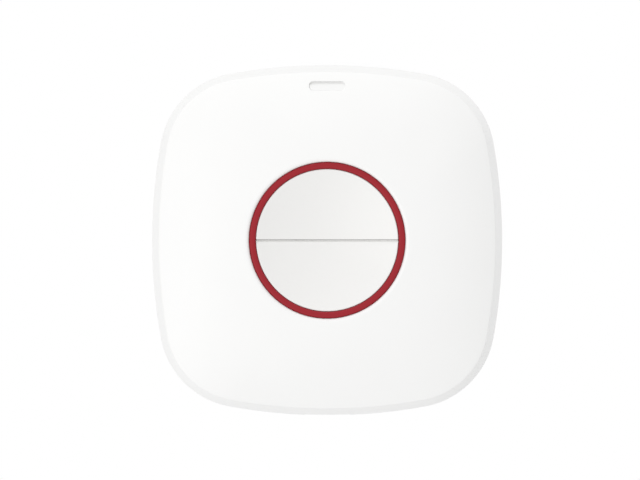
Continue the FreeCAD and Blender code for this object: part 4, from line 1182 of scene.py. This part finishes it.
def half_key(name, side, chord_share, chord_drop, lip_edge):
    """A half key: the upper one with side 1, and turned over for the lower one with side -1. The
    round at its chord is chord_share as wide and chord_drop as deep as at its rim, and its lip
    reaches to lip_edge."""
    skin = Skin()
    top = drawn_in(key_round, chord_share)
    fine = [drawn_in(key_round + step * MM, max(chord_share, 1)) for step in FINE_INSETS_MM]
    coarse = [drawn_in(inset * MM)[::3] for inset in COARSE_INSETS_MM]
    row, = skin.field(top, [], np.concatenate(fine + coarse), dish_height)

    edge_height = dish_height(top)
    deeper = 1 + (chord_drop - 1) * at_chord()
    lip_height = edge_height - lip_depth
    lip = half_round(cap_radius, lip_edge, key_corner)
    flange = half_round(key_flange_radius, lip_edge, key_corner)
    hollow = half_round(hollow_radius, key_gap / 2 + key_wall, key_corner)
    chord = flange[:, 1] < lip_edge + MERGE
    flange_height = np.where(chord, (key_flange_top + key_bottom) / 2, key_flange_top)
    row = skin.carry_on(row, [
        *((drawn_in(inset, chord_share), edge_height - drop * deeper)
          for inset, drop in quarter_round(key_round)[1:]),
        (drawn_in(0), lip_height), (lip, lip_height), (lip, key_flange_top),
        (flange, flange_height), (flange, key_bottom), (hollow, key_bottom),
    ])
    middle = np.array([0, hollow_radius / 2])
    inside = np.concatenate([middle + (hollow[::3] - middle) * share
                             for share in (0.8, 0.6, 0.4, 0.2)])
    ceiling, = skin.field(hollow, [], inside, under_height, to_front=False)
    skin.bridge(row, ceiling)

    for x, z, radius, bottom in ((-post_x, post_z, post_radius, post_bottom),
                                 (post_x, post_z, post_radius, post_bottom),
                                 (0, switch_place, foot_radius, foot_bottom)):
        into_cap = height_at(under_height, x, z) + key_skin / 3
        peg(skin, x, z, radius, bottom, into_cap, peg_edge)
    skin.points = [(side * x, y, side * z) for x, y, z in skin.points]
    cap = skin.build(name + "_cap", key_white)
    # the rib stands round the foot, so it reaches up as far as the foot does
    rib = band(name + "_rib", key_white, boot_rib_inner, boot_rib_outer, boot_rib_bottom, into_cap,
               rib_edge, z=side * switch_place)
    return joined(name, [cap, rib], key_white)


upper_key = half_key("upper_key_cap", 1, 0.5, 0.8, key_gap / 2)
lower_key = half_key("lower_key_cap", -1, 3.8, 2.3, -lip_below)
print("half key", len(upper_key.data.polygons), "faces")

# %% [markdown]
# ## Rear plate
#
# The plate carries everything and is what the wall screws hold. Its back lies flat on the wall. It
# has a long hole on each side with a raised pad round it, a small window for the tamper pin, a rib
# that fits inside the cover, and four hooks that snap behind the cover's ledges.

# %% Rear plate, front side
floor_height = 1.8 * MM
plate_inset, back_round = 2.25 * MM, 0.3 * MM
rib_inset, rib_thickness, rib_height = half_width - rib_half, 1.2 * MM, 1.4 * MM
rib_inner, rib_top = rib_inset + rib_thickness, floor_height + rib_height
wall_slot_place, wall_slot_length, wall_slot_width = 22 * MM, 8 * MM, 4 * MM
pad_margin, pad_rise = 2.4 * MM, 0.7 * MM
window_radius, window_z = 1.8 * MM, -21 * MM
keep_off = 0.6 * MM
SLOT_STEPS, WINDOW_STEPS = 14, 48
GRID_TICKS_MM = np.arange(-31, 32, 2)


def long_hole(side, grow):
    """A wall slot's outline, drawn out by a distance."""
    width = wall_slot_width + 2 * grow
    return rounded_box(wall_slot_length + 2 * grow, width, width / 2 - TINY,
                       x=side * wall_slot_place, steps=SLOT_STEPS)


def window(grow):
    """The outline of the tamper pin's window, drawn out by a distance."""
    return circle(window_radius + grow, WINDOW_STEPS, 0, window_z)


def three_holes(slot_grow, window_grow):
    """The outlines of both wall slots and of the window, drawn out by a distance."""
    return [long_hole(-1, slot_grow), long_hole(1, slot_grow), window(window_grow)]


def level(height):
    """A flat field's height."""
    return lambda flat: np.full(len(flat), height)


def free_grid(outer, holes):
    """Points every 2 mm between outlines."""
    ticks = GRID_TICKS_MM * MM
    grid = np.stack(np.meshgrid(ticks, ticks), axis=-1).reshape(-1, 2)
    free = surrounds(outer, grid)
    for hole in holes:
        free &= ~surrounds(hole, grid)
    return grid[free]


plate = Skin()
front_rows = plate.field(
    inset_outline(rib_inner), three_holes(pad_margin, 0),
    free_grid(inset_outline(rib_inner + keep_off), three_holes(pad_margin + keep_off, keep_off)),
    level(floor_height))
plate_levels = [(rib_inner, rib_top), (rib_inset, rib_top), (rib_inset, floor_height),
                (plate_inset, floor_height)]
plate_levels += [(plate_inset + away, to_back) for to_back, away in quarter_round(back_round)]
plate_row = plate.carry_on(front_rows[0], [(inset_outline(inset), height)
                                           for inset, height in plate_levels])
print("rear plate's front", len(plate.faces), "faces")

# %% [markdown]
# The holes go through the plate from their rims to its back, where their edges are round too. A
# wall slot's rim is its pad: up the pad's side, in over its top, and then down the slot.

# %% Rear plate, holes and back
back_rows = plate.field(
    inset_outline(plate_inset + back_round), three_holes(back_round, back_round),
    free_grid(inset_outline(plate_inset + back_round + keep_off),
              three_holes(2 * keep_off, 2 * keep_off)),
    level(0.0), to_front=False)
plate.bridge(plate_row, back_rows[0])
pad_top = floor_height + pad_rise
pad_levels = [(pad_margin, pad_top), (0, pad_top)]
hole_levels = [(away, to_back) for to_back, away in quarter_round(back_round)]
for number, outline, levels in ((1, lambda grow: long_hole(-1, grow), pad_levels + hole_levels),
                                (2, lambda grow: long_hole(1, grow), pad_levels + hole_levels),
                                (3, window, hole_levels)):
    hole_row = plate.carry_on(front_rows[number], [(outline(grow), height)
                                                   for grow, height in levels], outwards=False)
    plate.bridge(back_rows[number], hole_row)
plate_skin = plate.build("plate_skin", rear_white)

hook_step, hook_catch, hook_tip, hook_top = 4.55 * MM, 0.75 * MM, 0.15 * MM, 5.75 * MM
hook_edge = 0.06 * MM
hook_section = [
    (rib_half - rib_thickness, floor_height - TINY), (rib_half, floor_height - TINY),
    (rib_half, hook_step), (rib_half + hook_catch, hook_step),
    (rib_half + hook_catch, hook_step + hook_tip), (rib_half, hook_top),
    (rib_half - rib_thickness, hook_top),
]
hook = soft_block("hook", hook_section, hook_width - rib_thickness, hook_edge)
rear_plate = joined("rear_plate", [plate_skin, four_of(hook, rear_white)], rear_white)
print("rear plate", len(rear_plate.data.polygons), "faces")

# %% [markdown]
# ## Indicator window
#
# The window is the end of a milky light guide. It rests on the slot's lower and right edge and
# leans a little back at the top, so that a fine line of shade shows along its upper and left edge.
# Below the cover a block, as wide as the room there allows, gathers the light.

# %% Indicator window
window_gap, window_shift, window_round = 0.035 * MM, 0.03 * MM, 0.02 * MM
recess_low, recess_high = 0.03 * MM, 0.6 * MM
block_top, block_bottom, block_round = 11 * MM, -guide_high.y, 0.1 * MM
block_width, block_height, block_corner = guide_high.x - guide_low.x, 2.2 * MM, 0.3 * MM
block_z = crease_half - wall - 0.3 * MM - block_height / 2
side_margin = 0.5 * MM
WINDOW_COLUMNS, WINDOW_ROWS = 25, 5
reach_across, reach_up = 0.45, 0.36  # from the middle, as shares of the window's width and height


def window_height(flat):
    """Height of the window's face: nearly flush at the slot's lower edge, deeper above."""
    up = (flat[:, 1] - slot_z) / slot_height + 0.5
    return dome_height(flat) - recess_low - (recess_high - recess_low) * np.clip(up, 0, 1)


def window_row(inset, heights):
    """A row of the window's own outline, drawn in by a distance."""
    return slot_outline(-window_gap - inset, window_shift), heights


def block_row(inset, height):
    """A row of the block's outline, drawn in by a distance."""
    return rounded_box(block_width - 2 * inset, block_height - 2 * inset, block_corner - inset,
                       z=block_z), height


guide = Skin()
across, up = np.meshgrid(np.linspace(-reach_across, reach_across, WINDOW_COLUMNS),
                         np.linspace(-reach_up, reach_up, WINDOW_ROWS))
inside = np.stack([across * (slot_width - side_margin), up * slot_height + slot_z], axis=-1)
face = slot_outline(-window_gap - window_round, window_shift)
row, = guide.field(face, [], inside.reshape(-1, 2), window_height)
face_height = window_height(face)
row = guide.carry_on(row, [
    *(window_row(inset, face_height - drop) for inset, drop in quarter_round(window_round, 3)[1:]),
    window_row(slot_draft, block_top - block_round),
])
guide.faces.append(tuple(row[::-1]))
guide.column([block_row(block_round, block_top), block_row(0, block_top - block_round),
              block_row(0, block_bottom + block_round), block_row(block_round, block_bottom)])
light_window = guide.build("indicator_window", guide_milky)
print("window", len(guide.faces), "faces")

# %% [markdown]
# ## Boots and snap domes
#
# A silicone boot round each switch lifts its key again, and a thin steel dome in the switch snaps
# through under the plunger. Nobody sees them, but they change shape with every press, so they are
# pieces of their own. Each is a section turned round the switch's axis. A section could be spun
# with a modifier too, and the rows of the skin do the same with less to clean.

# %% Boots and snap domes
def softened(corners, cut, steps=4, most=0.45):
    """A closed section whose corners are replaced by short curves. A curve starts and ends a cut
    away from its corner, but takes up only so much of a side."""
    share = np.linspace(0, 1, steps + 1)[:, None]
    corners = np.array(corners)
    curves = []
    for before, corner, after in zip(np.roll(corners, 1, axis=0), corners,
                                     np.roll(corners, -1, axis=0)):
        start, end = (corner + (other - corner) * min(cut / math.dist(other, corner), most)
                      for other in (before, after))
        curves.append((1 - share) ** 2 * start + 2 * share * (1 - share) * corner
                      + share ** 2 * end)
    return np.concatenate(curves)


def turned(name, section, z, material, steps=96):
    """A closed section of (radius, height) turned round an axis at z, outwards at its top."""
    skin = Skin()
    rows = [skin.row(circle(radius, steps, z=z), height) for radius, height in section]
    for inner, outer in zip(rows, rows[1:] + rows[:1]):
        skin.bridge(inner, outer)
    return joined(name, [skin.build(name + "_skin", material)], material)


board_level, boot_level = -boot_high.y, -boot_low.y
boot_lip, boot_foot, boot_soft = 0.6 * MM, 0.7 * MM, 0.2 * MM
boot_waist, boot_outer, boot_inner = 5.9 * MM, 6.2 * MM, 5.2 * MM
boot_corners = [
    (boot_rib_inner, boot_level - boot_lip), (boot_rib_inner, boot_level),
    (boot_rib_outer, boot_level), (boot_rib_outer, boot_level - boot_lip),
    (boot_waist, board_level + boot_foot), (boot_outer, board_level + boot_foot),
    (boot_outer, board_level), (boot_inner, board_level),
]
well_level, snap_rise, snap_steel, snap_reach = -snap_high.y, 0.4 * MM, 0.1 * MM, 2.25 * MM
snap_radii = np.linspace(0, snap_reach, 12)
snap_heights = well_level + snap_rise * (1 - (snap_radii / snap_reach) ** 3)
snap_section = list(zip(snap_radii, snap_heights + snap_steel))
snap_section += list(zip(snap_radii[::-1], snap_heights[::-1]))
SNAP_STEPS = 64
boots, snap_domes = {}, {}
for label, side in (("upper", 1), ("lower", -1)):
    z = side * switch_place
    boots[label] = turned(label + "_boot", softened(boot_corners, boot_soft), z, boot_silicone)
    snap_domes[label] = turned(label + "_snap_dome", snap_section, z, stamped_steel, SNAP_STEPS)
    print(label, "boot", len(boots[label].data.polygons), "faces")

# %% [markdown]
# ## Tamper spring
#
# A small spring holds the tamper pin out. It is a wire that follows a rule, so a tree winds it: a
# spiral with a number of turns and a rise, swept with a round wire. Its two ends are cut square.

# %% Tamper spring
STEPS_PER_TURN, WIRE_STEPS = 40, 12


def coil_tree():
    """A round wire wound round an axis that faces the viewer."""
    tree, value, result = geometry_tree("wound_wire", [
        ("Radius", "Float"), ("Wire", "Float"), ("Turns", "Float"), ("Rise", "Float"),
        ("Start", "Float"), ("Centre Z", "Float"),
    ])
    spiral = node(tree, "GeometryNodeCurveSpiral", {
        "Resolution": STEPS_PER_TURN, "Rotations": value["Turns"], "Height": value["Rise"],
        "Start Radius": value["Radius"], "End Radius": value["Radius"]})
    wire = node(tree, "GeometryNodeCurvePrimitiveCircle",
                {"Resolution": WIRE_STEPS, "Radius": value["Wire"]})
    front = calculated(tree, "MULTIPLY", value["Start"], -1)
    coil = swept(tree, spiral, wire, vector(tree, Y=front, Z=value["Centre Z"]), capped=True)
    return finish_tree(tree, coil, value, result)


wire_radius = 0.15 * MM
spring_start, spring_end = -spring_high.y, -spring_low.y
wound = grown("wound", coil_tree(), {
    "Radius": spring_high.x - wire_radius, "Wire": wire_radius, "Turns": 2.5,
    "Rise": spring_end - spring_start - 2 * wire_radius, "Start": spring_start + wire_radius,
    "Centre Z": window_z, "Material": stamped_steel,
})
tamper_coil = joined("tamper_coil", [wound], stamped_steel)
print("spring from %.2f to %.2f mm above the wall" % (spring_start / MM, spring_end / MM))

# %% [markdown]
# ## Handing the pieces over
#
# Each modelled piece moves with the body that its solid belongs to and stands in for that solid,
# whose node is hidden. The keys ride on their own bodies, so a press moves them. The boots and snap
# domes get meshes of their own, and the spring's place is baked into its points.

# %% Pieces and bodies
for piece, node_name, body in (
    (front_cover, "front_cover", "housing"),
    (rear_plate, "rear_cover", "housing"),
    (red_ring, "red_ring", "housing"),
    (upper_key, "upper_button", "upper_key"),
    (lower_key, "lower_button", "lower_key"),
    (light_window, "indicator_light_guide", "housing"),
    (boots["upper"], "upper_return_boot", "housing"),
    (boots["lower"], "lower_return_boot", "housing"),
    (snap_domes["upper"], "upper_switch_dome", "housing"),
    (snap_domes["lower"], "lower_switch_dome", "housing"),
):
    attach(piece, body)
    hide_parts(node_name)
    print(piece.name, "rides on", body)

for label in ("upper", "lower"):
    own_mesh(boots[label])
    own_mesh(snap_domes[label])
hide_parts("tamper_spring")
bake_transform(tamper_coil)

# %% [markdown]
# ## The finished model
#
# The looks must not change the object's size.

# %% Finished
print("the model is finished")
